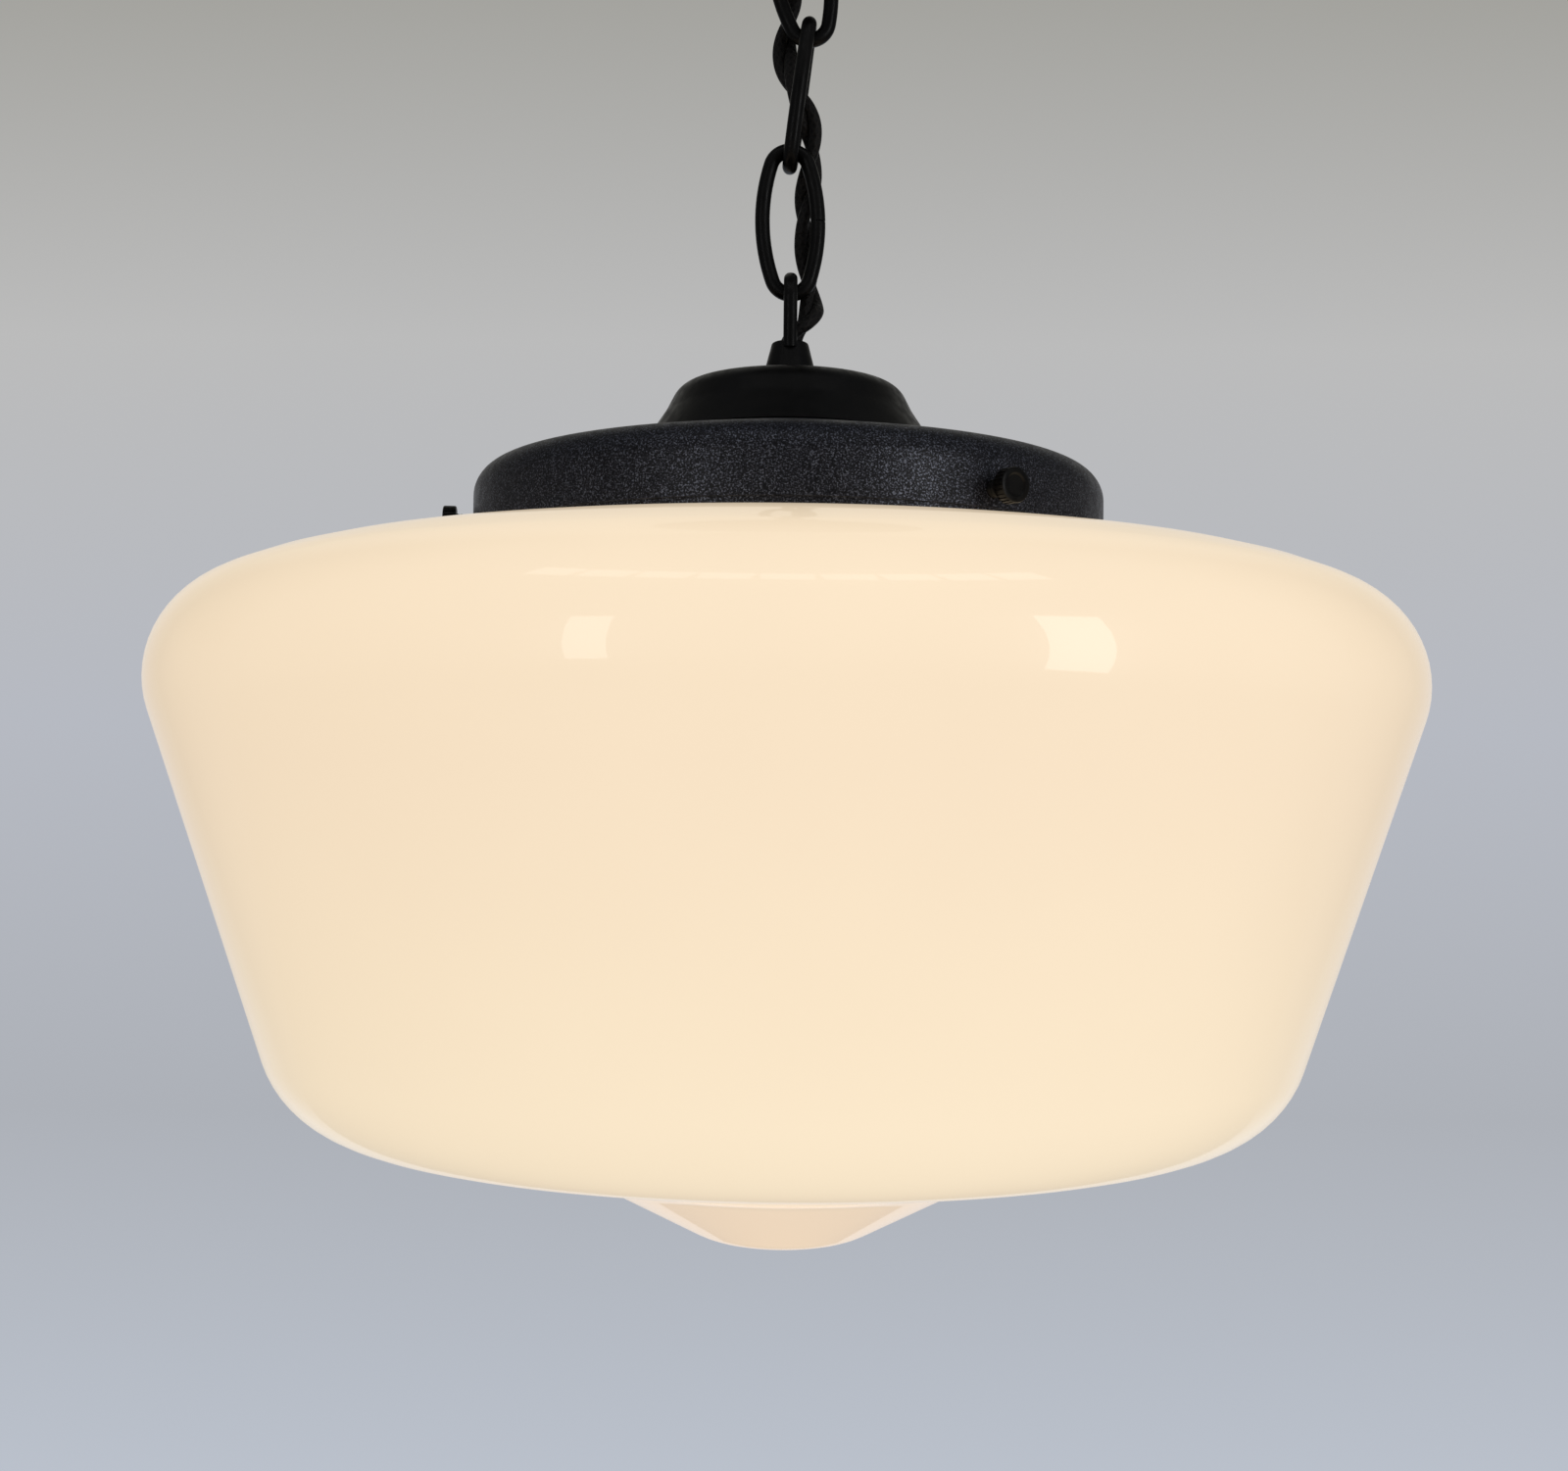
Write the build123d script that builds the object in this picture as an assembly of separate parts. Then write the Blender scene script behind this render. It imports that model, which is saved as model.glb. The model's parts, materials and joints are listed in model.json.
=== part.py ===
from build123d import *
from math import asin, cos, degrees, pi, radians, sin, sqrt, tan
import os

# Milk glass pendant light: a cased opal shade in a six inch holder, hung from
# a ceiling canopy on three oval chain links, with a twisted cord woven through.
# Origin: middle of the ceiling strap's top face, on the ceiling plane.
# +Z is up, so the lamp hangs at negative Z; the photograph looks along +Y.

# Fits between pieces
running_gap = 0.05
thread_gap = 0.05
sliding_gap = 0.3
contact_gap = 0.15
arc_slack = 0.02

# Shade holder
holder_radius = 77.3
holder_skirt = 15.9
holder_wall = 1.0
holder_edge_fillet = 7.6
holder_flat_fillet = 6.0
holder_slope = 12.0
holder_flat_radius = 11.0
hem_inset = 1.1
hem_drop = 2.4
hem_wall = 0.8

# Glass shade, heights counted from the holder's lower edge
glass_wall = 3.7
neck_play = 4.8
neck_radius = holder_radius - neck_play
lip_radius = 2.7
lip_clearance = 0.2
neck_root = -9.5
neck_root_fillet = 4.0
crest_corner = (119.5, -6.1)
crest_fillet = 74.0
brim_corner = (157.8, -23.1)
brim_fillet = 25.0
foot_corner = (119.0, -139.0)
foot_fillet = 27.0
tip_root = (50.0, -153.0)
tip_root_fillet = 30.0
tip_edge_radius = 17.0
tip_edge_fillet = 24.0
tip_depth = -170.2

# Thumbscrews
thumb_count = 3
thumb_first_angle = 35.0
thumb_height = 4.0
thumb_head_radius = 3.9
thumb_head_length = 3.2
thumb_standoff = 4.2
thumb_shank_radius = 2.0
thumb_knurls = 24
thumb_knurl_depth = 0.25

# Vase cap
cap_foot_radius = 35.6
cap_waist = (30.6, 7.6)
cap_shoulder = (27.3, 14.2)
cap_height = 16.6
cap_waist_fillet = 14.0
cap_shoulder_fillet = 6.5
cap_flat_fillet = 20.0
cap_wall = 1.0
cap_foot_edge = 1.4
cap_flat_radius = 10.0

# Threaded tubes (one eighth inch pipe) and their nuts
tube_radius = 4.85
tube_bore = 3.4
stem_length = 29.1
stem_above_cap = 4.5
stem_hole_gap = 0.15
washer_radius = 8.5
washer_thickness = 0.8
nut_flats = 14.3
nut_thickness = 3.2

# Loops: the lower one holds the lamp, the upper one hangs from the canopy
loop_base_radius = 6.8
loop_neck_radius = 4.5
loop_neck_rounding = 0.5
lamp_loop_height = 9.0
canopy_loop_height = 5.2
loop_bore = 3.7
eye_width = 3.4
eye_thickness = 3.2
eye_rounding = 1.54
eye_radius = 5.9
eye_reach = 16.0
eye_foot = 4.2
eye_root = 1.6
eye_shoulder = 7.2
eye_shoulder_fillet = 9.0

# Chain
link_wire = 3.7
link_length = 39.9
link_width = 17.6
link_end_radius = 4.85
link_seam = 0.25
lean_b = 7.3
lean_a = -1.2

# Canopy, its ring and the ceiling strap
canopy_radius = 63.5
canopy_depth = 22.0
canopy_wall = 0.9
canopy_lip = 4.0
canopy_corner = (50.0, 13.0)
canopy_hub_radius = 24.0
canopy_fillet = 12.0
canopy_lip_fillet = 4.0
canopy_hole_gap = 0.4
collar_radius = 13.5
collar_height = 16.4
collar_below_ring = 1.2
ring_radius = 18.0
ring_height = 5.0
ring_knurls = 36
ring_knurl_depth = 0.4
strap_length = 104.0
strap_width = 19.0
strap_thickness = 2.0
strap_corner = 3.0
slot_spacing = 80.0
slot_length = 16.0
slot_radius = 2.2
canopy_tube_above = 7.0
canopy_tube_engaged = 9.0
ground_offset = 22.0
ground_shank_radius = 2.0
ground_head_radius = 4.2
ground_head_thickness = 2.0
ground_shank_length = 6.0

# Lampholder
cup_radius = 19.5
cup_height = 17.0
cup_fillet = 8.0
cup_wall = 0.8
cup_hub_radius = 7.5
cup_hub_height = 5.0
porcelain_radius = 19.0
porcelain_mouth_radius = 17.5
porcelain_height = 38.0
boss_radius = 11.5
boss_height = 6.0
porcelain_floor = 8.0
shell_radius = 13.15
shell_wall = 0.45
shell_length = 27.0
shell_inset = 1.5
contact_width = 6.0
contact_thickness = 0.8
contact_length = 14.0
contact_lift = 2.2
terminal_head_radius = 3.0
terminal_head_thickness = 1.6
terminal_shank_radius = 1.6
terminal_shank_length = 3.0
terminal_height = 3.2

# Bulb
bulb_length = 108.0
bulb_radius = 30.0
bulb_base_radius = 12.85
bulb_base_length = 23.6
bulb_base_wall = 0.4
bulb_insulator_height = 3.0
bulb_tip_radius = 4.7
bulb_tip_height = 1.6
bulb_collar_length = 30.0
bulb_collar_radius = 25.0
bulb_globe_wall = 1.2
bulb_plug_length = 4.0

# Cord: two strands twisted together, as thick together as this
cord_diameter = 6.0
lead_radius = 1.35
lead_offset = 1.6
lead_bend = 2.0
lead_end_above_rim = 1.4
supply_spread = 15.0
supply_rise = 7.0
supply_end = 22.0
connector_radius = 4.6
connector_length = 17.0

# The cord's route, from the lamp's loop up through the chain to the canopy's loop
cord_route = [
    (0.0, 0.0, -161.5),
    (0.0, 0.0, -157.8),
    (5.2, 0.1, -152.5),
    (5.4, 5.6, -146.3),
    (4.0, 5.8, -134.0),
    (2.8, 5.6, -123.5),
    (5.2, 5.4, -113.0),
    (5.2, 2.8, -104.5),
    (1.8, 0.5, -97.0),
    (-1.8, 2.3, -89.5),
    (-2.3, 5.6, -81.0),
    (-0.3, 5.7, -71.0),
    (-2.6, 5.6, -60.5),
    (-5.4, 5.6, -46.6),
    (-5.3, 0.1, -40.3),
    (0.0, 0.0, -34.8),
    (0.0, 0.0, -30.9),
]


# Heights and places that follow from the sizes above
link_core = link_length - link_wire
link_centres = link_core - 2 * link_end_radius
link_half_width = (link_width - link_wire) / 2
link_on_link = link_wire + contact_gap
link_on_eye = (link_wire + eye_thickness) / 2 + contact_gap

collar_bottom = -canopy_depth - sliding_gap - ring_height - collar_below_ring
upper_eye_z = collar_bottom - canopy_loop_height - eye_reach

# Link c leans back as far as link b leans out, so that the lamp hangs plumb
sway_b = link_core * sin(radians(lean_b))
sway_a = link_centres * sin(radians(lean_a))
lean_c = -degrees(asin((sway_b + sway_a) / link_centres))


def along(lean):
    """Upward direction of a link that leans to +X by this many degrees."""
    return Vector(sin(radians(lean)), 0, cos(radians(lean)))


up = Vector(0, 0, 1)
pivot_c = Vector(0, 0, upper_eye_z)
bend_c_top = pivot_c + up * (link_on_eye - link_end_radius)
bend_c_bottom = bend_c_top - along(lean_c) * link_centres
pivot_b = bend_c_bottom - up * link_end_radius
crown_b = pivot_b + up * link_on_link
pivot_a = crown_b - along(lean_b) * link_core
bend_a_top = pivot_a + up * (link_on_link - link_end_radius)
bend_a_bottom = bend_a_top - along(lean_a) * link_centres
pivot_lamp = bend_a_bottom - up * link_end_radius
lower_eye = pivot_lamp + up * link_on_eye

cap_top = lower_eye.Z - eye_reach - lamp_loop_height
slope = tan(radians(holder_slope))
cap_seat_above_skirt = (holder_radius - cap_foot_radius + cap_foot_edge) * slope
holder_z = cap_top - cap_height - cap_seat_above_skirt - holder_skirt
cap_foot = cap_top - cap_height


def holder_top(radius):
    """Height of the holder's sloping top face at this radius."""
    return holder_z + holder_skirt + (holder_radius - radius) * slope


stem_hole = tube_radius + stem_hole_gap
holder_underside = holder_top(holder_flat_radius) - holder_wall
stem_top = cap_top + stem_above_cap
stem_bottom = stem_top - stem_length
cup_top = stem_bottom + cup_hub_height
cup_rim = cup_top - cup_height
porcelain_bottom = cup_rim - porcelain_height
socket_floor = cup_rim - porcelain_floor
bulb_tip_top = socket_floor - contact_lift - sliding_gap
bulb_base_top = bulb_tip_top - bulb_tip_height - bulb_insulator_height
axis = Axis((0, 0, 0), (0, 0, 1))
standing = (Align.CENTER, Align.CENTER, Align.MIN)


def beside(points, distance):
    """The same polyline moved to its left by a distance, with mitred corners."""
    moved = []
    for i, point in enumerate(points):
        normals = []
        if i > 0:
            run = (point - points[i - 1]).normalized()
            normals.append(Vector(-run.Y, run.X))
        if i < len(points) - 1:
            run = (points[i + 1] - point).normalized()
            normals.append(Vector(-run.Y, run.X))
        mitre = normals[0]
        if len(normals) == 2:
            mitre = (normals[0] + normals[1]) * (1 / (1 + normals[0].dot(normals[1])))
        moved.append(point + mitre * distance)
    return moved


def walled(points, radii, thickness):
    """Solid of revolution: a wall of even thickness to the left of a rounded line."""
    line = [Vector(r, z) for r, z in points]
    inner = beside(line, thickness)
    inner_radii = []
    for before, corner, after, radius in zip(line, line[1:], line[2:], radii):
        turn = (corner - before).cross(after - corner).Z
        inner_radii.append(radius - thickness if turn > 0 else radius + thickness)
    outside = FilletPolyline(*line, radius=radii)
    inside = FilletPolyline(*inner, radius=inner_radii)
    ends = [Line(line[0], inner[0]), Line(line[-1], inner[-1])]
    return turned(make_face([*outside.edges(), *inside.edges(), *ends]))


def turned(section):
    """Revolve a section drawn as radius across and height up."""
    return revolve(Plane.XZ * section, axis, 360)


def disc(radius, bottom, top, hole=0.0):
    """Cylinder or ring between two heights on the lamp's axis."""
    solid = Pos(0, 0, bottom) * Cylinder(radius, top - bottom, align=standing)
    if hole:
        solid -= Pos(0, 0, bottom) * Cylinder(hole, top - bottom, align=standing)
    return solid


def tube(points, radii, radius):
    """Round bar along straight runs joined by arcs."""
    line = [Vector(*point) for point in points]
    path = FilletPolyline(*line, radius=radii)
    start = Plane(origin=path @ 0, z_dir=path % 0)
    return sweep(start * Circle(radius), path=path)


def knurled(radius, length, teeth, depth):
    """Cylinder along +Z with a toothed rim, standing on the XY plane."""
    rim = []
    for i in range(teeth):
        for share, reach in ((0.0, radius), (0.25, radius), (0.5, radius - depth), (0.75, radius - depth)):
            turn = 2 * pi * (i + share) / teeth
            rim.append((reach * cos(turn), reach * sin(turn)))
    return extrude(make_face(Polyline(*rim, close=True)), length)


def glass_shade():
    lip_centre = neck_radius - glass_wall + lip_radius
    screw_bite = neck_radius + contact_gap - lip_centre
    neck_top = thumb_height + thumb_shank_radius + sqrt(lip_radius**2 - screw_bite**2) + lip_clearance
    line = [
        (neck_radius, neck_top),
        (neck_radius, neck_root),
        crest_corner,
        brim_corner,
        foot_corner,
        tip_root,
        (tip_edge_radius, tip_depth),
        (0, tip_depth),
    ]
    radii = [
        neck_root_fillet,
        crest_fillet,
        brim_fillet,
        foot_fillet,
        tip_root_fillet,
        tip_edge_fillet,
    ]
    body = walled(line, radii, -glass_wall)
    lip = turned(Pos(lip_centre, neck_top) * Circle(lip_radius))
    return Pos(0, 0, holder_z) * (body + lip)


def shade_holder():
    flat_height = holder_skirt + (holder_radius - holder_flat_radius) * slope
    line = [
        (stem_hole, flat_height),
        (holder_flat_radius, flat_height),
        (holder_radius, holder_skirt),
        (holder_radius, 0),
    ]
    shell = walled(line, [holder_flat_fillet, holder_edge_fillet], -holder_wall)
    hem_outer = holder_radius - hem_inset
    hem = Polyline(
        (hem_outer - hem_wall, holder_wall),
        (hem_outer - hem_wall, -hem_drop),
        (hem_outer, -hem_drop),
        (hem_outer, 0),
        (holder_radius, 0),
        (holder_radius, holder_wall),
        close=True,
    )
    solid = Pos(0, 0, holder_z) * (shell + turned(make_face(hem)))
    for i in range(thumb_count):
        solid -= thumb_place(i) * Cylinder(thumb_shank_radius + running_gap, 12)
    return solid


def thumb_place(i):
    """Frame on the skirt's outer face with +Z pointing outwards along screw i."""
    turn = thumb_first_angle + i * 360 / thumb_count
    outwards = Vector(sin(radians(turn)), -cos(radians(turn)), 0)
    foot = outwards * holder_radius + Vector(0, 0, holder_z + thumb_height)
    return Plane(origin=foot, x_dir=up, z_dir=outwards)


def thumbscrew(i):
    tip = neck_radius + contact_gap - holder_radius
    shank = Pos(0, 0, tip) * Cylinder(thumb_shank_radius, thumb_standoff - tip, align=standing)
    head = Pos(0, 0, thumb_standoff) * knurled(
        thumb_head_radius, thumb_head_length, thumb_knurls, thumb_knurl_depth
    )
    face_edge = Pos(0, 0, thumb_standoff + thumb_head_length) * Circle(thumb_head_radius - thumb_knurl_depth)
    head += extrude(face_edge, 0.25, taper=35)
    return thumb_place(i) * (shank + head)


def vase_cap():
    line = [
        (cap_foot_radius, 0),
        cap_waist,
        cap_shoulder,
        (cap_flat_radius, cap_height),
        (stem_hole, cap_height),
    ]
    body = walled(line, [cap_waist_fillet, cap_shoulder_fillet, cap_flat_fillet], cap_wall)
    ground = disc(cap_foot_radius + 10, cap_foot - 10, cap_foot)
    return Pos(0, 0, cap_foot) * body - ground


def loop_eye():
    """Bail of a loop in the YZ plane, from its neck up to the eye, neck at Z = 0."""
    line = [
        (0, -eye_foot, -eye_root),
        (0, -eye_radius, eye_shoulder),
        (0, -eye_radius, eye_reach),
        (0, eye_radius, eye_reach),
        (0, eye_radius, eye_shoulder),
        (0, eye_foot, -eye_root),
    ]
    crown = eye_radius - arc_slack
    path = FilletPolyline(
        *[Vector(*p) for p in line], radius=[eye_shoulder_fillet, crown, crown, eye_shoulder_fillet]
    )
    section = Plane(origin=path @ 0, x_dir=(1, 0, 0), z_dir=path % 0)
    return sweep(section * RectangleRounded(eye_width, eye_thickness, eye_rounding), path=path)


def loop_body(height):
    """Bored conical neck of a loop with its bail, the neck's top at Z = 0."""
    cone = Pos(0, 0, -height) * Cone(loop_base_radius, loop_neck_radius, height, align=standing)
    cone = fillet(cone.edges().group_by(Axis.Z)[-1], loop_neck_rounding)
    return cone + loop_eye() - disc(loop_bore, -height, eye_reach / 2)


def fixture_loop():
    body = Pos(0, 0, cap_top + lamp_loop_height) * loop_body(lamp_loop_height)
    thread = disc(tube_radius + thread_gap, cap_top, stem_top)
    return body - thread


def canopy_loop():
    turned_down = Rot(180, 0, 0) * loop_body(canopy_loop_height)
    body = Pos(0, 0, collar_bottom - canopy_loop_height) * turned_down
    collar_top = collar_bottom + collar_height
    collar = disc(collar_radius, collar_bottom, collar_top, loop_bore)
    collar = chamfer(collar.edges().group_by(Axis.Z)[0].sort_by(SortBy.RADIUS)[-1], 0.8)
    thread = disc(tube_radius + thread_gap, collar_top - canopy_tube_engaged, collar_top)
    return body + collar - thread


def link_line():
    """Centre line of a link: bowed sides between tighter ends, open at the seam."""
    half = link_centres / 2
    bow = (link_half_width**2 + half**2 - link_end_radius**2) / (2 * (link_half_width - link_end_radius))
    share = link_end_radius / (bow - link_end_radius)
    joint = (share * (bow - link_half_width), half + share * half)

    def on_side(height):
        return (link_half_width - bow + sqrt(bow**2 - height**2), height)

    seam = link_seam / 2
    tip = link_core / 2
    line = ThreePointArc(on_side(seam), on_side(half / 2), joint)
    line += ThreePointArc(joint, (0, tip), (-joint[0], joint[1]))
    line += ThreePointArc((-joint[0], joint[1]), (-link_half_width, 0), (-joint[0], -joint[1]))
    line += ThreePointArc((-joint[0], -joint[1]), (0, -tip), (joint[0], -joint[1]))
    line += ThreePointArc((joint[0], -joint[1]), on_side(-half / 2), on_side(-seam))
    return Wire(line.edges())


def chain_link(wire_bend_top, lean, across_x):
    """Oval link of round wire, butted in the middle of one long side."""
    half = link_centres / 2
    path = link_line()
    start = Plane(origin=path @ 0, z_dir=path % 0)
    flat = sweep(start * Circle(link_wire / 2), path=path)
    upright = Rot(90, 0, 0) * flat
    if not across_x:
        upright = Rot(0, 0, 90) * upright
    middle = wire_bend_top - along(lean) * half
    return Pos(*middle) * Rot(0, lean, 0) * upright


def cord_radii(points, share=0.45):
    """Largest arc that the runs beside each corner of a route allow."""
    line = [Vector(*point) for point in points]
    radii = []
    for before, corner, after in zip(line, line[1:], line[2:]):
        shorter = min((corner - before).length, (after - corner).length)
        turn = (corner - before).get_angle(after - corner)
        radii.append(share * shorter / tan(radians(turn / 2)))
    return radii


def canopy():
    line = [
        (canopy_radius, 0),
        (canopy_radius, -canopy_lip),
        (canopy_corner[0], -canopy_corner[1]),
        (canopy_hub_radius, -canopy_depth),
        (collar_radius + canopy_hole_gap, -canopy_depth),
    ]
    return walled(line, [canopy_lip_fillet, canopy_fillet, canopy_fillet], -canopy_wall)


def canopy_ring():
    top = -canopy_depth - sliding_gap
    ring = Pos(0, 0, top - ring_height) * knurled(ring_radius, ring_height, ring_knurls, ring_knurl_depth)
    return ring - disc(collar_radius + running_gap, top - ring_height, top)


def ceiling_strap():
    strap = Pos(0, 0, -strap_thickness) * Box(strap_length, strap_width, strap_thickness, align=standing)
    strap = fillet(strap.edges().filter_by(Axis.Z), strap_corner)
    slot = SlotOverall(slot_length, 2 * slot_radius)
    for side in (-1, 1):
        cut = Pos(side * slot_spacing / 2, 0, -strap_thickness) * slot
        strap -= extrude(cut, strap_thickness)
    strap -= disc(tube_radius + thread_gap, -strap_thickness, 0)
    return strap - Pos(ground_offset, 0, 0) * Cylinder(ground_shank_radius, 3 * strap_thickness)


def pipe(bottom, top):
    """Threaded tube between two heights on the lamp's axis, its ends chamfered."""
    solid = disc(tube_radius, bottom, top, tube_bore)
    rims = solid.edges().filter_by(GeomType.CIRCLE).sort_by(SortBy.RADIUS)[-2:]
    return chamfer(rims, 0.5)


def hex_nut(bottom):
    corner = nut_flats / sqrt(3)
    nut = Pos(0, 0, bottom) * extrude(RegularPolygon(corner, 6), nut_thickness)
    crown = Pos(0, 0, bottom) * Cone(
        corner * 1.15, corner * 0.93, nut_thickness, align=standing
    )
    return (nut & crown) - disc(tube_radius + thread_gap, bottom, bottom + nut_thickness)


def ground_screw():
    shank = Cylinder(ground_shank_radius - running_gap, ground_shank_length, align=standing)
    head = extrude(RegularPolygon(ground_head_radius, 6), -ground_head_thickness)
    return Pos(ground_offset, 0, -strap_thickness) * (shank + head)


def lock_washer():
    return disc(washer_radius, holder_underside - washer_thickness, holder_underside, stem_hole)


def socket_cup():
    line = [
        (tube_radius + thread_gap, cup_height),
        (cup_radius, cup_height),
        (cup_radius, 0),
    ]
    shell = Pos(0, 0, cup_rim) * walled(line, [cup_fillet], -cup_wall)
    hub = disc(cup_hub_radius, cup_top - cup_hub_height, cup_top - cup_wall, tube_radius + thread_gap)
    return shell + hub


def socket_body():
    line = [
        (0, cup_rim + boss_height),
        (boss_radius, cup_rim + boss_height),
        (boss_radius, cup_rim),
        (porcelain_radius, cup_rim),
        (porcelain_radius, cup_rim - porcelain_height * 0.4),
        (porcelain_mouth_radius, cup_rim - porcelain_height * 0.55),
        (porcelain_mouth_radius, porcelain_bottom),
        (shell_radius + shell_wall + running_gap, porcelain_bottom),
        (shell_radius + shell_wall + running_gap, socket_floor),
        (0, socket_floor),
    ]
    body = turned(make_face(Polyline(*line, close=True)))
    body = fillet(body.edges().filter_by(GeomType.CIRCLE).group_by(Axis.Z)[0].sort_by(SortBy.RADIUS)[-1], 1.2)
    for place in terminal_places():
        body -= place * Cylinder(terminal_shank_radius, 2 * terminal_shank_length)
    return body


def terminal_places():
    """Frames on the boss of the lampholder, +Z pointing out along each terminal screw."""
    height = cup_rim + terminal_height
    return [
        Plane(origin=(side * boss_radius, 0, height), x_dir=(0, 1, 0), z_dir=(side, 0, 0)) for side in (-1, 1)
    ]


def terminal_screws():
    screws = []
    for place in terminal_places():
        head = Cylinder(terminal_head_radius, terminal_head_thickness, align=standing)
        shank = Pos(0, 0, -terminal_shank_length) * Cylinder(
            terminal_shank_radius - running_gap, terminal_shank_length, align=standing
        )
        screws.append(place * (head + shank))
    return screws


def screw_shell():
    bottom = porcelain_bottom + shell_inset
    return disc(shell_radius + shell_wall, bottom, bottom + shell_length, shell_radius)


def centre_contact():
    tongue = Polyline(
        (-contact_length * 0.6, 0),
        (-contact_length * 0.25, 0),
        (-contact_length * 0.15, contact_thickness - contact_lift),
        (contact_length * 0.25, contact_thickness - contact_lift),
        (contact_length * 0.25, -contact_lift),
        (-contact_length * 0.2, -contact_lift),
        (-contact_length * 0.3, -contact_thickness),
        (-contact_length * 0.6, -contact_thickness),
        close=True,
    )
    strip = extrude(Plane.XZ * make_face(tongue), contact_width / 2, both=True)
    return Pos(0, 0, socket_floor) * strip


def bulb_tip():
    tip = disc(bulb_tip_radius, bulb_tip_top - bulb_tip_height, bulb_tip_top)
    return fillet(tip.edges().group_by(Axis.Z)[-1], bulb_tip_height * 0.6)


def bulb_insulator():
    top = bulb_tip_top - bulb_tip_height
    return Pos(0, 0, top - bulb_insulator_height) * Cone(
        bulb_base_radius - 2.2,
        bulb_tip_radius + 0.6,
        bulb_insulator_height,
        align=standing,
    )


def bulb_screw_base():
    line = [
        (bulb_tip_radius, 0),
        (bulb_base_radius, 0),
        (bulb_base_radius, -bulb_base_length),
    ]
    return Pos(0, 0, bulb_base_top) * walled(line, [1.6], -bulb_base_wall)


def bulb_collar():
    plug = bulb_base_radius - bulb_base_wall - running_gap
    top = bulb_base_top - bulb_base_length
    line = Polyline(
        (0, top + bulb_plug_length),
        (plug, top + bulb_plug_length),
        (plug, top),
        (bulb_base_radius + 0.8, top),
        (bulb_base_radius + 1.6, top - 3),
        (bulb_collar_radius, top - bulb_collar_length),
        (0, top - bulb_collar_length),
        close=True,
    )
    return turned(make_face(line))


def bulb_globe():
    top = bulb_base_top - bulb_base_length - bulb_collar_length
    bottom = bulb_tip_top - bulb_length
    line = [
        (bulb_collar_radius, top),
        (bulb_radius + 3.5, top - 18),
        (bulb_radius - 4.0, bottom),
        (0, bottom),
    ]
    return walled(line, [26.0, 20.0], -bulb_globe_wall)


def lead_pair(points, radii):
    """Two insulated leads, one each side of the YZ plane."""
    one = tube(points, radii, lead_radius)
    return [one, mirror(one, Plane.YZ)]


def socket_leads():
    entry = stem_bottom - lead_bend
    outside = boss_radius + terminal_head_thickness + lead_radius + running_gap
    points = [
        (lead_offset, 0, cord_route[0][2]),
        (lead_offset, 0, entry),
        (outside, 0, entry - lead_bend),
        (outside, 0, cup_rim + lead_end_above_rim),
    ]
    return lead_pair(points, [lead_bend, lead_bend])


def supply_leads():
    exit_height = canopy_tube_above + 2.0
    points = [
        (lead_offset, 0, cord_route[-1][2]),
        (lead_offset, 0, exit_height),
        (supply_spread, 0, exit_height + supply_rise),
        (supply_spread, 0, supply_end),
    ]
    return lead_pair(points, [4.5, 4.5])


def wire_connectors():
    nuts = []
    for side in (-1, 1):
        shell = Pos(side * supply_spread, 0, supply_end) * Cone(
            connector_radius, connector_radius * 0.62, connector_length, align=standing
        )
        nuts.append(fillet(shell.edges().group_by(Axis.Z)[-1], 1.2))
    return nuts


def cord_pieces():
    """The cord as one tube along its route, cut in the middle of each link."""
    radii = cord_radii(cord_route)
    whole = tube(cord_route, radii, cord_diameter / 2)
    path = FilletPolyline(*[Vector(*p) for p in cord_route], radius=radii)
    section = pi * (cord_diameter / 2) ** 2
    print("cord length", round(path.length, 1), "volume over section", round(whole.volume / section, 1))
    print("cord radii", [round(r, 1) for r in radii])
    pivots = [pivot_lamp, pivot_a, pivot_b, pivot_c]
    pieces = []
    for below, above in zip(pivots, pivots[1:]):
        cut = Plane(origin=(below + above) / 2)
        pieces.append(split(whole, cut, keep=Keep.BOTTOM))
        whole = split(whole, cut, keep=Keep.TOP)
    return [*pieces, whole]


cord_lower, cord_middle, cord_upper, cord_canopy = cord_pieces()
nodes = {
    "ceiling_strap": ceiling_strap(),
    "canopy_nipple": pipe(collar_bottom + collar_height - canopy_tube_engaged, canopy_tube_above),
    "canopy_nipple_nut": hex_nut(0),
    "ground_screw": ground_screw(),
    "canopy": canopy(),
    "canopy_loop": canopy_loop(),
    "canopy_ring": canopy_ring(),
    "supply_leads": Compound(children=supply_leads()),
    "wire_connectors": Compound(children=wire_connectors()),
    "chain_link_c": chain_link(bend_c_top, lean_c, True),
    "chain_link_b": chain_link(crown_b - along(lean_b) * link_end_radius, lean_b, False),
    "chain_link_a": chain_link(bend_a_top, lean_a, True),
    "cord_canopy": cord_canopy,
    "cord_upper": cord_upper,
    "cord_middle": cord_middle,
    "cord_lower": cord_lower,
    "fixture_loop": fixture_loop(),
    "vase_cap": vase_cap(),
    "shade_holder": shade_holder(),
    "stem_nipple": pipe(stem_bottom, stem_top),
    "stem_lock_washer": lock_washer(),
    "stem_nut": hex_nut(holder_underside - washer_thickness - nut_thickness),
    "glass_shade": glass_shade(),
    "socket_cup": socket_cup(),
    "socket_body": socket_body(),
    "socket_screw_shell": screw_shell(),
    "socket_centre_contact": centre_contact(),
    "socket_terminal_screws": Compound(children=terminal_screws()),
    "socket_leads": Compound(children=socket_leads()),
    "bulb_tip": bulb_tip(),
    "bulb_insulator": bulb_insulator(),
    "bulb_screw_base": bulb_screw_base(),
    "bulb_collar": bulb_collar(),
    "bulb_globe": bulb_globe(),
}
for i in range(thumb_count):
    nodes[f"thumbscrew_{i + 1}"] = thumbscrew(i)

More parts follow.
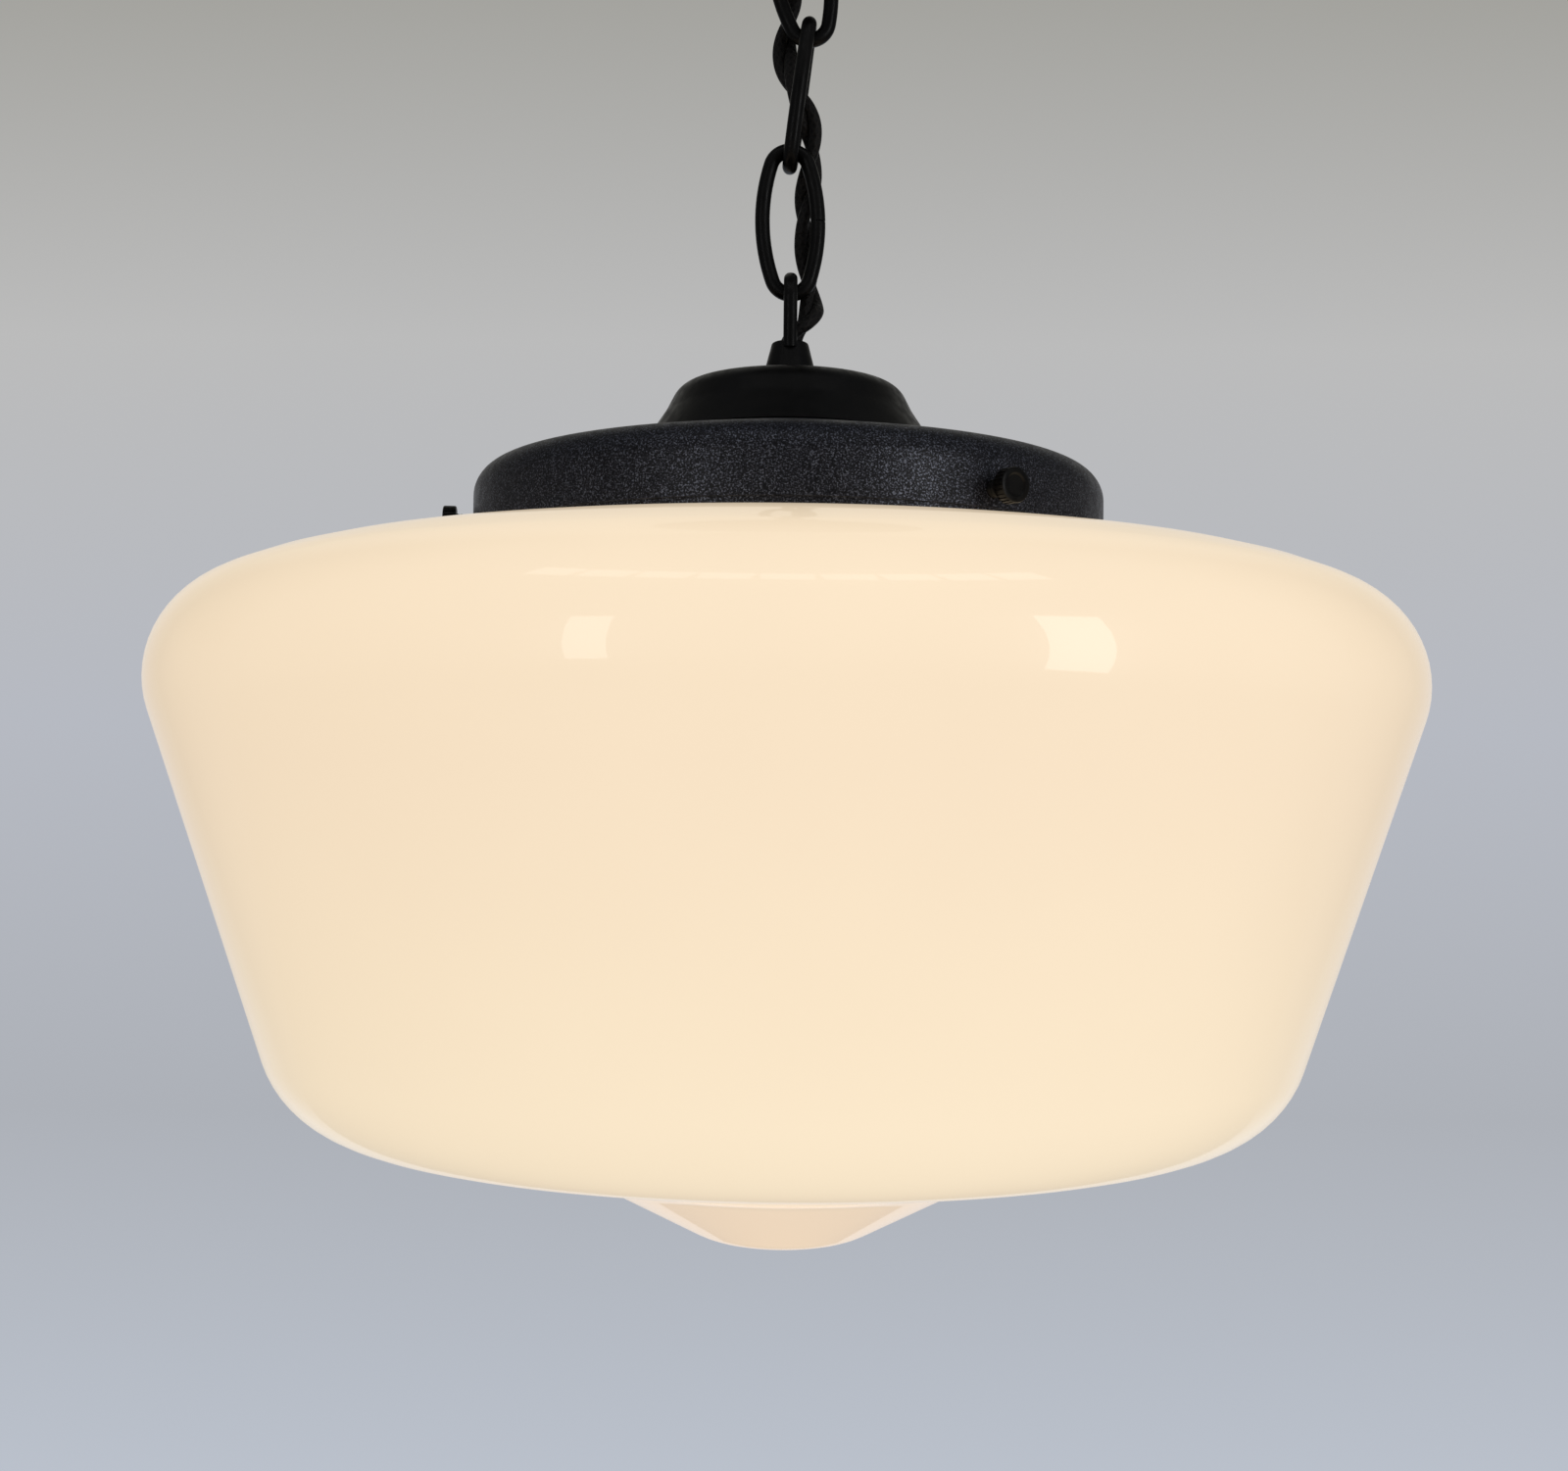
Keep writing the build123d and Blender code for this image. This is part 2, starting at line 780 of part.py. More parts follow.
os.makedirs("parts", exist_ok=True)
for name, shape in nodes.items():
    export_step(shape, f"parts/{name}.step")

print("pivots of the joints, from the lamp up to the canopy")
for label, point in (("lamp", pivot_lamp), ("link a", pivot_a), ("link b", pivot_b), ("link c", pivot_c)):
    print(label, round(point.X, 3), round(point.Y, 3), round(point.Z, 3))
print("holder edge", round(holder_z, 3), "cap top", round(cap_top, 3), "lean of link c", round(lean_c, 2))
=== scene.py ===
import bpy
import json
import math
from mathutils import Matrix, Vector


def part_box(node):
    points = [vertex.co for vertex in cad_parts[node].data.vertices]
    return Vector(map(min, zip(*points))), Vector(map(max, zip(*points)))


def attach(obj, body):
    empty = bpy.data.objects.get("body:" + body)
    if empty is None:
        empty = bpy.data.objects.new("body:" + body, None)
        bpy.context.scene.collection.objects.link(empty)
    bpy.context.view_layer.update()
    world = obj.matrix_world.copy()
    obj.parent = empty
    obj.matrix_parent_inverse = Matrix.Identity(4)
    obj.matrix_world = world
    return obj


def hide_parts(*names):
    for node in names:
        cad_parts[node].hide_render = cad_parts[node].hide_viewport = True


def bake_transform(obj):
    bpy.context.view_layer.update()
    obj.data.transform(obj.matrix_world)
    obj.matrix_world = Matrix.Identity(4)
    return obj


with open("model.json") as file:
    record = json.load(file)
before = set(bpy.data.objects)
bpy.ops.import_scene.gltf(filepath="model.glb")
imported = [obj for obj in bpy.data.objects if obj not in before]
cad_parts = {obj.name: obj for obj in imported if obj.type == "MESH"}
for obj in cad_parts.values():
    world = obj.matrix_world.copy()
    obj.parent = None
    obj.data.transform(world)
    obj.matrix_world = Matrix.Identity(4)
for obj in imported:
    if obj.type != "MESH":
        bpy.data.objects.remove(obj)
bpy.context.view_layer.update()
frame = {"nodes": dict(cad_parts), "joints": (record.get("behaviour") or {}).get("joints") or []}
mm = 0.001
# how far a place may be off and still count as the one that is looked for
hair = 0.01 * mm
up = Vector((0, 0, 1))

# Where the joints are: the lamp and each link swing on the wire above them
pivots = {joint["child"]: Vector(joint["pos_m"]) for joint in frame["joints"] if "pos_m" in joint}

# Camera, from just under the shade's brim, tilted up a little; it leans, so the lamp leans to the right
camera = {
    "photoWidth": 1600,
    "focalPixels": 2021.1,
    "sensor": 36.0,
    "distance": 489.25 * mm,
    "belowHolder": 67.83 * mm,
    "tiltUp": 0.0422,
    "pan": -0.0010,
    "roll": 0.0105,
}

# Shade holder: spun steel, its foot rolled into a narrow hem
holder = {
    "radius": 77.3 * mm,
    "skirt": 15.9 * mm,
    "wall": 1.0 * mm,
    "edgeFillet": 7.6 * mm,
    "slope": math.radians(12.0),
    "flatRadius": 11.0 * mm,
    "flatFillet": 6.0 * mm,
    "hole": 5.0 * mm,
    "hemInset": 1.1 * mm,
    "hemDrop": 2.4 * mm,
    "hemWall": 0.8 * mm,
    "hemRounding": 0.24 * mm,
    "screwHole": 2.05 * mm,
    "cutReach": 6.0 * mm,
    "steps": 160,
}
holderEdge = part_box("shade_holder")[0].z + holder["hemDrop"]


# Working moves that every piece uses

def clearSelection():
    if bpy.context.object and bpy.context.object.mode != "OBJECT":
        bpy.ops.object.mode_set(mode="OBJECT")
    bpy.ops.object.select_all(action="DESELECT")


def pickOnly(piece):
    clearSelection()
    piece.select_set(True)
    bpy.context.view_layer.objects.active = piece


def besideCorners(corners, distance):
    # the same corners moved to the left of the line, mitred
    moved = []
    for i, corner in enumerate(corners):
        normals = []
        if i > 0:
            run = (corner - corners[i - 1]).normalized()
            normals.append(Vector((-run.y, run.x)))
        if i < len(corners) - 1:
            run = (corners[i + 1] - corner).normalized()
            normals.append(Vector((-run.y, run.x)))
        mitre = normals[0]
        if len(normals) == 2:
            mitre = (normals[0] + normals[1]) / (1 + normals[0].dot(normals[1]))
        moved.append(corner + mitre * distance)
    return moved


def roundedLine(corners, radii, arcStep=math.radians(6)):
    # a line whose inner corners are arcs of these radii
    line = [corners[0]]
    for before, corner, after, radius in zip(corners, corners[1:], corners[2:], radii):
        inwards = (before - corner).normalized()
        onwards = (after - corner).normalized()
        turn = math.pi - inwards.angle(onwards)
        reach = radius * math.tan(turn / 2)
        centre = corner + (inwards + onwards).normalized() * (radius / math.cos(turn / 2))
        start = corner + inwards * reach - centre
        side = -1 if start.x * inwards.y - start.y * inwards.x > 0 else 1
        steps = max(2, round(turn / arcStep))
        for k in range(steps + 1):
            line.append(centre + Matrix.Rotation(side * turn * k / steps, 2) @ start)
    line.append(corners[-1])
    return line


def wallOutline(corners, radii, thickness):
    # both faces of a bent sheet, as one outline from its outer end round to its inner end
    outer = [Vector(corner) for corner in corners]
    inner = besideCorners(outer, thickness)
    innerRadii = []
    for before, corner, after, radius in zip(outer, outer[1:], outer[2:], radii):
        run, onRun = corner - before, after - corner
        bendsLeft = run.x * onRun.y - run.y * onRun.x > 0
        innerRadii.append(radius - thickness if bendsLeft else radius + thickness)
    return roundedLine(outer, radii), roundedLine(inner, innerRadii)


def startAtPoint(place):
    # a plane merged to one vertex
    clearSelection()
    bpy.ops.mesh.primitive_plane_add(size=1 * mm, location=place)
    bpy.ops.object.mode_set(mode="EDIT")
    bpy.ops.mesh.select_mode(type="VERT")
    bpy.ops.mesh.select_all(action="SELECT")
    bpy.ops.mesh.merge(type="CENTER")


def closeMesh(mergeWithin=0.002 * mm):
    bpy.ops.mesh.select_all(action="SELECT")
    bpy.ops.mesh.remove_doubles(threshold=mergeWithin)
    bpy.ops.mesh.normals_make_consistent(inside=False)


def spinOutline(outline, steps, raised=0.0):
    # the outline's x is the radius and its y the height
    startAtPoint((outline[0].x, 0, outline[0].y + raised))
    for before, after in zip(outline, outline[1:]):
        move = after - before
        bpy.ops.mesh.extrude_vertices_move(TRANSFORM_OT_translate={"value": (move.x, 0, move.y)})
    bpy.ops.mesh.select_all(action="SELECT")
    bpy.ops.mesh.spin(steps=steps, angle=2 * math.pi, center=(0, 0, 0), axis=(0, 0, 1))
    closeMesh()
    bpy.ops.object.mode_set(mode="OBJECT")
    return bpy.context.object


def applyModifier(piece, kind, **settings):
    pickOnly(piece)
    modifier = piece.modifiers.new(kind.title(), kind)
    for key, value in settings.items():
        setattr(modifier, key, value)
    bpy.ops.object.modifier_apply(modifier=modifier.name)


def cutWith(piece, cutter, operation="DIFFERENCE"):
    applyModifier(piece, "BOOLEAN", object=cutter, operation=operation, solver="EXACT")
    bpy.data.objects.remove(cutter, do_unlink=True)


def cylinderAt(radius, bottom, top, vertices=48):
    clearSelection()
    place = (0, 0, (bottom + top) / 2)
    depth = top - bottom
    bpy.ops.mesh.primitive_cylinder_add(vertices=vertices, radius=radius, depth=depth, location=place)
    return bpy.context.object


def selectFaces(test):
    # in edit mode: only the faces whose centre and normal pass the test
    bpy.ops.mesh.select_all(action="DESELECT")
    bpy.ops.object.mode_set(mode="OBJECT")
    mesh = bpy.context.object.data
    for face in mesh.polygons:
        face.select = test(face)
    bpy.ops.object.mode_set(mode="EDIT")


def selectEdges(test):
    # in edit mode: only the edges whose two ends pass the test
    bpy.ops.mesh.select_all(action="DESELECT")
    bpy.ops.mesh.select_mode(type="EDGE")
    bpy.ops.object.mode_set(mode="OBJECT")
    mesh = bpy.context.object.data
    for edge in mesh.edges:
        ends = [mesh.vertices[i].co for i in edge.vertices]
        edge.select = test(*ends)
    bpy.ops.object.mode_set(mode="EDIT")


def placePiece(piece, name, body, material, nodes=(), smoothAngle=32):
    pickOnly(piece)
    bpy.ops.object.transform_apply(location=True, rotation=True, scale=True)
    bpy.ops.object.shade_smooth_by_angle(angle=math.radians(smoothAngle))
    piece.name = name
    piece.data.name = name
    piece.data.materials.clear()
    piece.data.materials.append(material)
    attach(piece, body)
    if nodes:
        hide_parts(*nodes)
    return piece


# Materials

def startMaterial(name):
    material = bpy.data.materials.new(name)
    material.use_nodes = True
    tree = material.node_tree
    return material, tree, tree.nodes["Principled BSDF"]


def addNode(tree, kind, **inputs):
    node = tree.nodes.new(kind)
    for key, value in inputs.items():
        node.inputs[key].default_value = value
    return node


def addNoise(tree, scale, detail=2.0, roughness=0.5):
    # noise over the object's own coordinates, scale in features per metre
    place = tree.nodes.new("ShaderNodeTexCoord")
    noise = addNode(tree, "ShaderNodeTexNoise", Scale=scale, Detail=detail, Roughness=roughness)
    tree.links.new(place.outputs["Object"], noise.inputs["Vector"])
    return noise.outputs["Fac"]


def addRamp(tree, source, stops):
    ramp = tree.nodes.new("ShaderNodeValToRGB")
    band = ramp.color_ramp
    while len(band.elements) < len(stops):
        band.elements.new(0.5)
    for element, (position, colour) in zip(band.elements, stops):
        element.position = position
        element.color = (*colour, 1)
    tree.links.new(source, ramp.inputs["Fac"])
    return ramp.outputs["Color"]


def addGrey(low, high, lowAt=0.35, highAt=0.65):
    return [(lowAt, (low, low, low)), (highAt, (high, high, high))]


def addBump(tree, shader, height, strength, distance):
    bump = addNode(tree, "ShaderNodeBump", Strength=strength, Distance=distance)
    tree.links.new(height, bump.inputs["Height"])
    tree.links.new(bump.outputs["Normal"], shader.inputs["Normal"])


def opalGlassMaterial():
    # lit cased opal under a clear polished skin: a painted glow standing in for the bulb's light through
    # the glass, brighter and a little yellower towards the foot and dimmer towards the neck as painted
    # light and shade
    material, tree, shader = startMaterial("opalGlass")
    place = tree.nodes.new("ShaderNodeTexCoord")
    split = tree.nodes.new("ShaderNodeSeparateXYZ")
    tree.links.new(place.outputs["Object"], split.inputs["Vector"])
    low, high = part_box("glass_shade")[0].z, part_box("glass_shade")[1].z
    rise = addNode(tree, "ShaderNodeMapRange")
    rise.inputs["From Min"].default_value = low
    rise.inputs["From Max"].default_value = high
    tree.links.new(split.outputs["Z"], rise.inputs["Value"])
    # painted glow of the bulb inside: brighter towards the foot, dimmer towards the neck, as painted light
    # and shade
    paintedGlow = addRamp(tree, rise.outputs["Result"], [
        (0.0, (0.92, 0.71, 0.50)),
        (0.08, (0.90, 0.70, 0.50)),
        (0.18, (0.87, 0.72, 0.51)),
        (0.35, (0.86, 0.70, 0.49)),
        (0.62, (0.84, 0.67, 0.47)),
        (0.86, (0.85, 0.68, 0.47)),
        (1.0, (0.74, 0.60, 0.44)),
    ])
    tree.links.new(paintedGlow, shader.inputs["Emission Color"])
    shader.inputs["Emission Strength"].default_value = 1.0
    cloud = addNoise(tree, 14.0, 3.0)
    skin = addRamp(tree, cloud, [(0.35, (0.46, 0.43, 0.39)), (0.65, (0.50, 0.47, 0.42))])
    tree.links.new(skin, shader.inputs["Base Color"])
    shader.inputs["Roughness"].default_value = 0.3
    shader.inputs["Specular IOR Level"].default_value = 0.2
    shader.inputs["Coat Weight"].default_value = 0.6
    shader.inputs["Coat Roughness"].default_value = 0.02
    shader.inputs["Coat IOR"].default_value = 1.5
    wave = addNoise(tree, 22.0, 1.0)
    addBump(tree, shader, wave, 0.25, 0.4 * mm)
    return material


def satinBlackMaterial():
    material, tree, shader = startMaterial("satinBlack")
    mottle = addNoise(tree, 180.0, 4.0)
    colour = addRamp(tree, mottle, [(0.3, (0.0026, 0.0025, 0.0024)), (0.7, (0.0052, 0.0049, 0.0045))])
    tree.links.new(colour, shader.inputs["Base Color"])
    shader.inputs["Specular IOR Level"].default_value = 0.18
    gloss = addNoise(tree, 420.0, 3.0)
    tree.links.new(addRamp(tree, gloss, addGrey(0.3, 0.46)), shader.inputs["Roughness"])
    grain = addNoise(tree, 2200.0, 2.0)
    addBump(tree, shader, grain, 0.25, 0.04 * mm)
    return material


def speckledBlackMaterial():
    # powder coat: near-black blue with dense fine grains of paler metal flake
    material, tree, shader = startMaterial("speckledBlack")
    flakes = addNoise(tree, 2600.0, 2.0, 0.6)
    colour = addRamp(tree, flakes, [
        (0.42, (0.0045, 0.0050, 0.0070)),
        (0.54, (0.026, 0.028, 0.038)),
        (0.68, (0.200, 0.215, 0.265)),
    ])
    tree.links.new(colour, shader.inputs["Base Color"])
    shader.inputs["Specular IOR Level"].default_value = 0.2
    tree.links.new(addRamp(tree, flakes, addGrey(0.0, 0.85, 0.48, 0.66)), shader.inputs["Metallic"])
    gloss = addNoise(tree, 300.0, 3.0)
    tree.links.new(addRamp(tree, gloss, addGrey(0.36, 0.46)), shader.inputs["Roughness"])
    addBump(tree, shader, addNoise(tree, 1900.0, 2.0), 0.5, 0.05 * mm)
    return material


def platedMaterial(name, dark, light, roughness, metallic=1.0):
    material, tree, shader = startMaterial(name)
    tone = addNoise(tree, 240.0, 3.0)
    tree.links.new(addRamp(tree, tone, [(0.35, dark), (0.65, light)]), shader.inputs["Base Color"])
    shader.inputs["Metallic"].default_value = metallic
    gloss = addNoise(tree, 600.0, 3.0)
    spread = addGrey(roughness - 0.07, roughness + 0.09)
    tree.links.new(addRamp(tree, gloss, spread), shader.inputs["Roughness"])
    addBump(tree, shader, addNoise(tree, 1800.0, 2.0), 0.2, 0.03 * mm)
    return material


def cordSkinMaterial():
    # braided sleeve: two crossing sets of fine threads round each strand
    material, tree, shader = startMaterial("cordSkin")
    uv = tree.nodes.new("ShaderNodeUVMap")
    uv.uv_map = "braid"
    split = tree.nodes.new("ShaderNodeSeparateXYZ")
    tree.links.new(uv.outputs["UV"], split.inputs["Vector"])
    threads = []
    for side in (1, -1):
        turn = addNode(tree, "ShaderNodeMath")
        turn.operation = "MULTIPLY"
        turn.inputs[1].default_value = side
        tree.links.new(split.outputs["X"], turn.inputs[0])
        total = addNode(tree, "ShaderNodeMath")
        total.operation = "ADD"
        tree.links.new(turn.outputs[0], total.inputs[0])
        tree.links.new(split.outputs["Y"], total.inputs[1])
        wave = addNode(tree, "ShaderNodeMath")
        wave.operation = "SINE"
        tree.links.new(total.outputs[0], wave.inputs[0])
        threads.append(wave.outputs[0])
    weave = addNode(tree, "ShaderNodeMath")
    weave.operation = "MAXIMUM"
    tree.links.new(threads[0], weave.inputs[0])
    tree.links.new(threads[1], weave.inputs[1])
    # the colour is darker where the weave is low, between the threads: painted shade in the braid's grooves
    colour = addRamp(tree, weave.outputs[0], [
        (0.1, (0.003, 0.0026, 0.0024)),
        (0.9, (0.011, 0.009, 0.0078)),
    ])
    tree.links.new(colour, shader.inputs["Base Color"])
    shader.inputs["Roughness"].default_value = 0.62
    shader.inputs["Specular IOR Level"].default_value = 0.3
    shader.inputs["Sheen Weight"].default_value = 0.04
    addBump(tree, shader, weave.outputs[0], 0.5, 0.12 * mm)
    return material


opalGlass = opalGlassMaterial()
satinBlack = satinBlackMaterial()
speckledBlack = speckledBlackMaterial()
cordSkin = cordSkinMaterial()
zincSteel = platedMaterial("zincSteel", (0.42, 0.42, 0.40), (0.60, 0.60, 0.57), 0.34)
greenSteel = platedMaterial("greenSteel", (0.02, 0.12, 0.045), (0.035, 0.17, 0.06), 0.4, 0.6)
brassMetal = platedMaterial("brassMetal", (0.55, 0.38, 0.14), (0.70, 0.50, 0.22), 0.3)
solderMetal = platedMaterial("solderMetal", (0.45, 0.45, 0.46), (0.62, 0.62, 0.63), 0.42)
nickelMetal = platedMaterial("nickelMetal", (0.55, 0.54, 0.50), (0.72, 0.70, 0.66), 0.22)
whitePorcelain = platedMaterial("whitePorcelain", (0.80, 0.79, 0.74), (0.86, 0.85, 0.81), 0.16, 0.0)
blackGlass = platedMaterial("blackGlass", (0.012, 0.010, 0.014), (0.02, 0.017, 0.022), 0.12, 0.0)
lampPlastic = platedMaterial("lampPlastic", (0.84, 0.83, 0.79), (0.89, 0.88, 0.85), 0.4, 0.0)
lampDiffuser = platedMaterial("lampDiffuser", (0.90, 0.87, 0.80), (0.94, 0.92, 0.86), 0.5, 0.0)
leadSkin = platedMaterial("leadSkin", (0.010, 0.009, 0.008), (0.018, 0.015, 0.013), 0.5, 0.0)
connectorShell = platedMaterial("connectorShell", (0.52, 0.10, 0.012), (0.62, 0.14, 0.02), 0.42, 0.0)
print("materials made")

# Cord: the same route as the held cord, from the lamp's loop up to the canopy's loop
cord = {
    "route": [
        (0.0, 0.0, -161.5),
        (0.0, 0.0, -157.8),
        (5.2, 0.1, -152.5),
        (5.4, 5.6, -146.3),
        (4.0, 5.8, -134.0),
        (2.8, 5.6, -123.5),
        (5.2, 5.4, -113.0),
        (5.2, 2.8, -104.5),
        (1.8, 0.5, -97.0),
        (-1.8, 2.3, -89.5),
        (-2.3, 5.6, -81.0),
        (-0.3, 5.7, -71.0),
        (-2.6, 5.6, -60.5),
        (-5.4, 5.6, -46.6),
        (-5.3, 0.1, -40.3),
        (0.0, 0.0, -34.8),
        (0.0, 0.0, -30.9),
    ],
    "strandRadius": 1.62 * mm,
    "strandOffset": 1.5 * mm,
    "twistPitch": 34.0 * mm,
    "twistStart": math.radians(20),
    "ringSides": 20,
    "threadsRound": 12,
    "threadPitch": 2.4 * mm,
    "blendReach": 9.0 * mm,
}


def routeLine(points):
    # the route's smooth line, read from a curve with no bevel
    curve = bpy.data.curves.new("cordRoute", "CURVE")
    curve.dimensions = "3D"
    curve.resolution_u = 24
    spline = curve.splines.new("NURBS")
    spline.points.add(len(points) - 1)
    for point, place in zip(spline.points, points):
        point.co = (*[value * mm for value in place], 1)
    spline.order_u = 3
    spline.use_endpoint_u = True
    holderObject = bpy.data.objects.new("cordRoute", curve)
    bpy.context.scene.collection.objects.link(holderObject)
    mesh = bpy.data.meshes.new_from_object(holderObject)
    line = [vertex.co.copy() for vertex in mesh.vertices]
    bpy.data.objects.remove(holderObject, do_unlink=True)
    bpy.data.meshes.remove(mesh)
    bpy.data.curves.remove(curve)
    return line


def carriedFrames(line):
    # a side vector at each point, carried along the line without twisting
    side = Vector((1, 0, 0))
    frames = []
    for i, point in enumerate(line):
        ahead = (line[min(i + 1, len(line) - 1)] - line[max(i - 1, 0)]).normalized()
        side = (side - ahead * side.dot(ahead)).normalized()
        frames.append((point, side.copy(), ahead.cross(side)))
    return frames


def strandLine(frames, lengths, phase):
    path = []
    for (point, side, other), length in zip(frames, lengths):
        turn = cord["twistStart"] + phase + 2 * math.pi * length / cord["twistPitch"]
        path.append(point + (side * math.cos(turn) + other * math.sin(turn)) * cord["strandOffset"])
    return path


def strandMesh(frames, lengths, paths, start, stop):
    # both strands between two points of the line, closed at their ends
    sides, radius = cord["ringSides"], cord["strandRadius"]
    points, faces, uvs = [], [], []
    for path in paths:
        first = len(points)
        for i in range(start, stop + 1):
            side, other = frames[i][1:]
            for k in range(sides):
                turn = 2 * math.pi * k / sides
                points.append(path[i] + (side * math.cos(turn) + other * math.sin(turn)) * radius)
        for i in range(stop - start):
            rise = [lengths[start + i], lengths[start + i + 1]]
            for k in range(sides):
                low, high = first + i * sides, first + (i + 1) * sides
                faces.append((low + k, low + (k + 1) % sides, high + (k + 1) % sides, high + k))
                uvs.append([(k, rise[0]), (k + 1, rise[0]), (k + 1, rise[1]), (k, rise[1])])
        last = first + (stop - start) * sides
        faces.append(tuple(range(first + sides - 1, first - 1, -1)))
        uvs.append([(0, lengths[start])] * sides)
        faces.append(tuple(range(last, last + sides)))
        uvs.append([(0, lengths[stop])] * sides)
    mesh = bpy.data.meshes.new("strands")
    mesh.from_pydata(points, [], faces)
    layer = mesh.uv_layers.new(name="braid")
    flat = [corner for face in uvs for corner in face]
    for loop, (across, along) in zip(layer.data, flat):
        around = across / sides * cord["threadsRound"] / 2 * 2 * math.pi
        loop.uv = (around, along / cord["threadPitch"] * 2 * math.pi)
    mesh.shade_smooth()
    return mesh


def makeCord():
    line = routeLine(cord["route"])
    frames = carriedFrames(line)
    lengths = [0.0]
    for before, after in zip(line, line[1:]):
        lengths.append(lengths[-1] + (after - before).length)
    paths = [strandLine(frames, lengths, phase) for phase in (0, math.pi)]
    order = ["lamp", "link_a", "link_b", "link_c"]
    cutHeights = [(pivots[low].z + pivots[high].z) / 2 for low, high in zip(order, order[1:])]
    cuts = [0]
    for height in cutHeights:
        cuts.append(next(i for i, point in enumerate(line) if point.z >= height))
    cuts.append(len(line) - 1)
    above = [*order[1:], "ceiling"]
    segments = ["cord_lower", "cord_middle", "cord_upper", "cord_canopy"]
    for body, upperBody, node, start, stop in zip(order, above, segments, cuts, cuts[1:]):
        mesh = strandMesh(frames, lengths, paths, start, stop)
        piece = bpy.data.objects.new(node.replace("cord", "twistedCord"), mesh)
        bpy.context.scene.collection.objects.link(piece)
        mesh.materials.append(cordSkin)
        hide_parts(node)
        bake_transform(piece)
    print("cord length", round(lengths[-1] / mm, 1), "mm")


makeCord()

# Chain: oval links of round wire, each butted in the middle of its right side
link = {
    "wire": 3.7 * mm,
    "width": 17.6 * mm,
    "length": 39.9 * mm,
    "endRadius": 4.85 * mm,
    "seam": 0.25 * mm,
    "onLink": 3.85 * mm,
    "onEye": 3.6 * mm,
    "endBevel": 0.18 * mm,
    "sides": 28,
    "endSteps": 20,
    "sideSteps": 10,
}


def modelLink():
    # one ring of wire spun round the side, the end, the other side and back to the seam
    halfWidth = (link["width"] - link["wire"]) / 2
    end = link["endRadius"]
    half = (link["length"] - link["wire"]) / 2 - end
    bow = (halfWidth**2 + half**2 - end**2) / (2 * (halfWidth - end))
    sideTurn = math.atan2(half, bow - halfWidth)
    seamTurn = math.asin(link["seam"] / 2 / bow)
    sideCentre = halfWidth - bow
    clearSelection()
    bpy.ops.mesh.primitive_circle_add(
        vertices=link["sides"],
        radius=link["wire"] / 2,
        fill_type="NGON",
        location=(sideCentre + bow * math.cos(seamTurn), 0, link["seam"] / 2),
        rotation=(0, -seamTurn, 0),
    )
    bpy.ops.object.mode_set(mode="EDIT")
    bpy.ops.mesh.select_mode(type="FACE")
    bpy.ops.mesh.select_all(action="SELECT")
    firstSide = {"center": (sideCentre, 0, 0), "angle": sideTurn - seamTurn, "steps": link["sideSteps"]}
    otherSide = {"center": (-sideCentre, 0, 0), "angle": 2 * sideTurn, "steps": 2 * link["sideSteps"]}
    endTurn = {"angle": math.pi - 2 * sideTurn, "steps": link["endSteps"]}
    topEnd = {"center": (0, 0, half), **endTurn}
    bottomEnd = {"center": (0, 0, -half), **endTurn}
    for run in (firstSide, topEnd, otherSide, bottomEnd, firstSide):
        bpy.ops.mesh.spin(axis=(0, 1, 0), **run)
    closeMesh()
    nearSeam = link["seam"]
    selectEdges(lambda a, b: max(abs(a.z), abs(b.z)) < nearSeam and min(a.x, b.x) > 0)
    bpy.ops.mesh.bevel(offset=link["endBevel"], segments=2, affect="EDGES")
    bpy.ops.object.mode_set(mode="OBJECT")
    bpy.ops.object.transform_apply(location=True, rotation=True, scale=True)
    return bpy.context.object


def makeChain():
    # each link by the centres of its upper and lower bends and its turn about its own length
    pattern, bend = modelLink(), link["endRadius"]
    crown = pivots["link_b"] + up * link["onLink"]
    down = (pivots["link_a"] - crown).normalized()
    places = {
        "link_a": (pivots["link_a"] + up * (link["onLink"] - bend), pivots["lamp"] + up * bend, 0),
        "link_b": (crown + down * bend, pivots["link_a"] - down * bend, 90),
        "link_c": (pivots["link_c"] + up * (link["onEye"] - bend), pivots["link_b"] + up * bend, 0),
    }
    for body, (topBend, bottomBend, turn) in places.items():
        pickOnly(pattern)
        bpy.ops.object.duplicate()
        copy = bpy.context.object
        lean = math.atan2(topBend.x - bottomBend.x, topBend.z - bottomBend.z)
        centre = (topBend + bottomBend) / 2
        facing = Matrix.Rotation(lean, 4, "Y") @ Matrix.Rotation(math.radians(turn), 4, "Z")
        copy.matrix_world = Matrix.Translation(centre) @ facing
        name = body.replace("link", "chainLink")
        placePiece(copy, name, body, satinBlack, ["chain_" + body])
    bpy.data.objects.remove(pattern, do_unlink=True)
    print("chain made")


makeChain()

# Loops: a conical neck with a bail, one on the lamp and one upside down under the canopy
loop = {
    "baseRadius": 6.8 * mm,
    "neckRadius": 4.5 * mm,
    "lampNeck": 9.0 * mm,
    "canopyNeck": 5.2 * mm,
    "bore": 3.7 * mm,
    "threadRadius": 4.9 * mm,
    "lampThread": 4.5 * mm,
    "canopyThread": 9.0 * mm,
    "barWidth": 3.4 * mm,
    "barThickness": 3.2 * mm,
    "barRounding": 1.5 * mm,
    "eyeRadius": 5.9 * mm,
    "reach": 16.0 * mm,
    "foot": 4.2 * mm,
    "root": 1.6 * mm,
    "legCorner": 7.2 * mm,
    "legBend": 9.0 * mm,
    "topRounding": 0.5 * mm,
}
collar = {
    "radius": 13.5 * mm,
    "height": 16.4 * mm,
    "chamfer": 0.8 * mm,
}


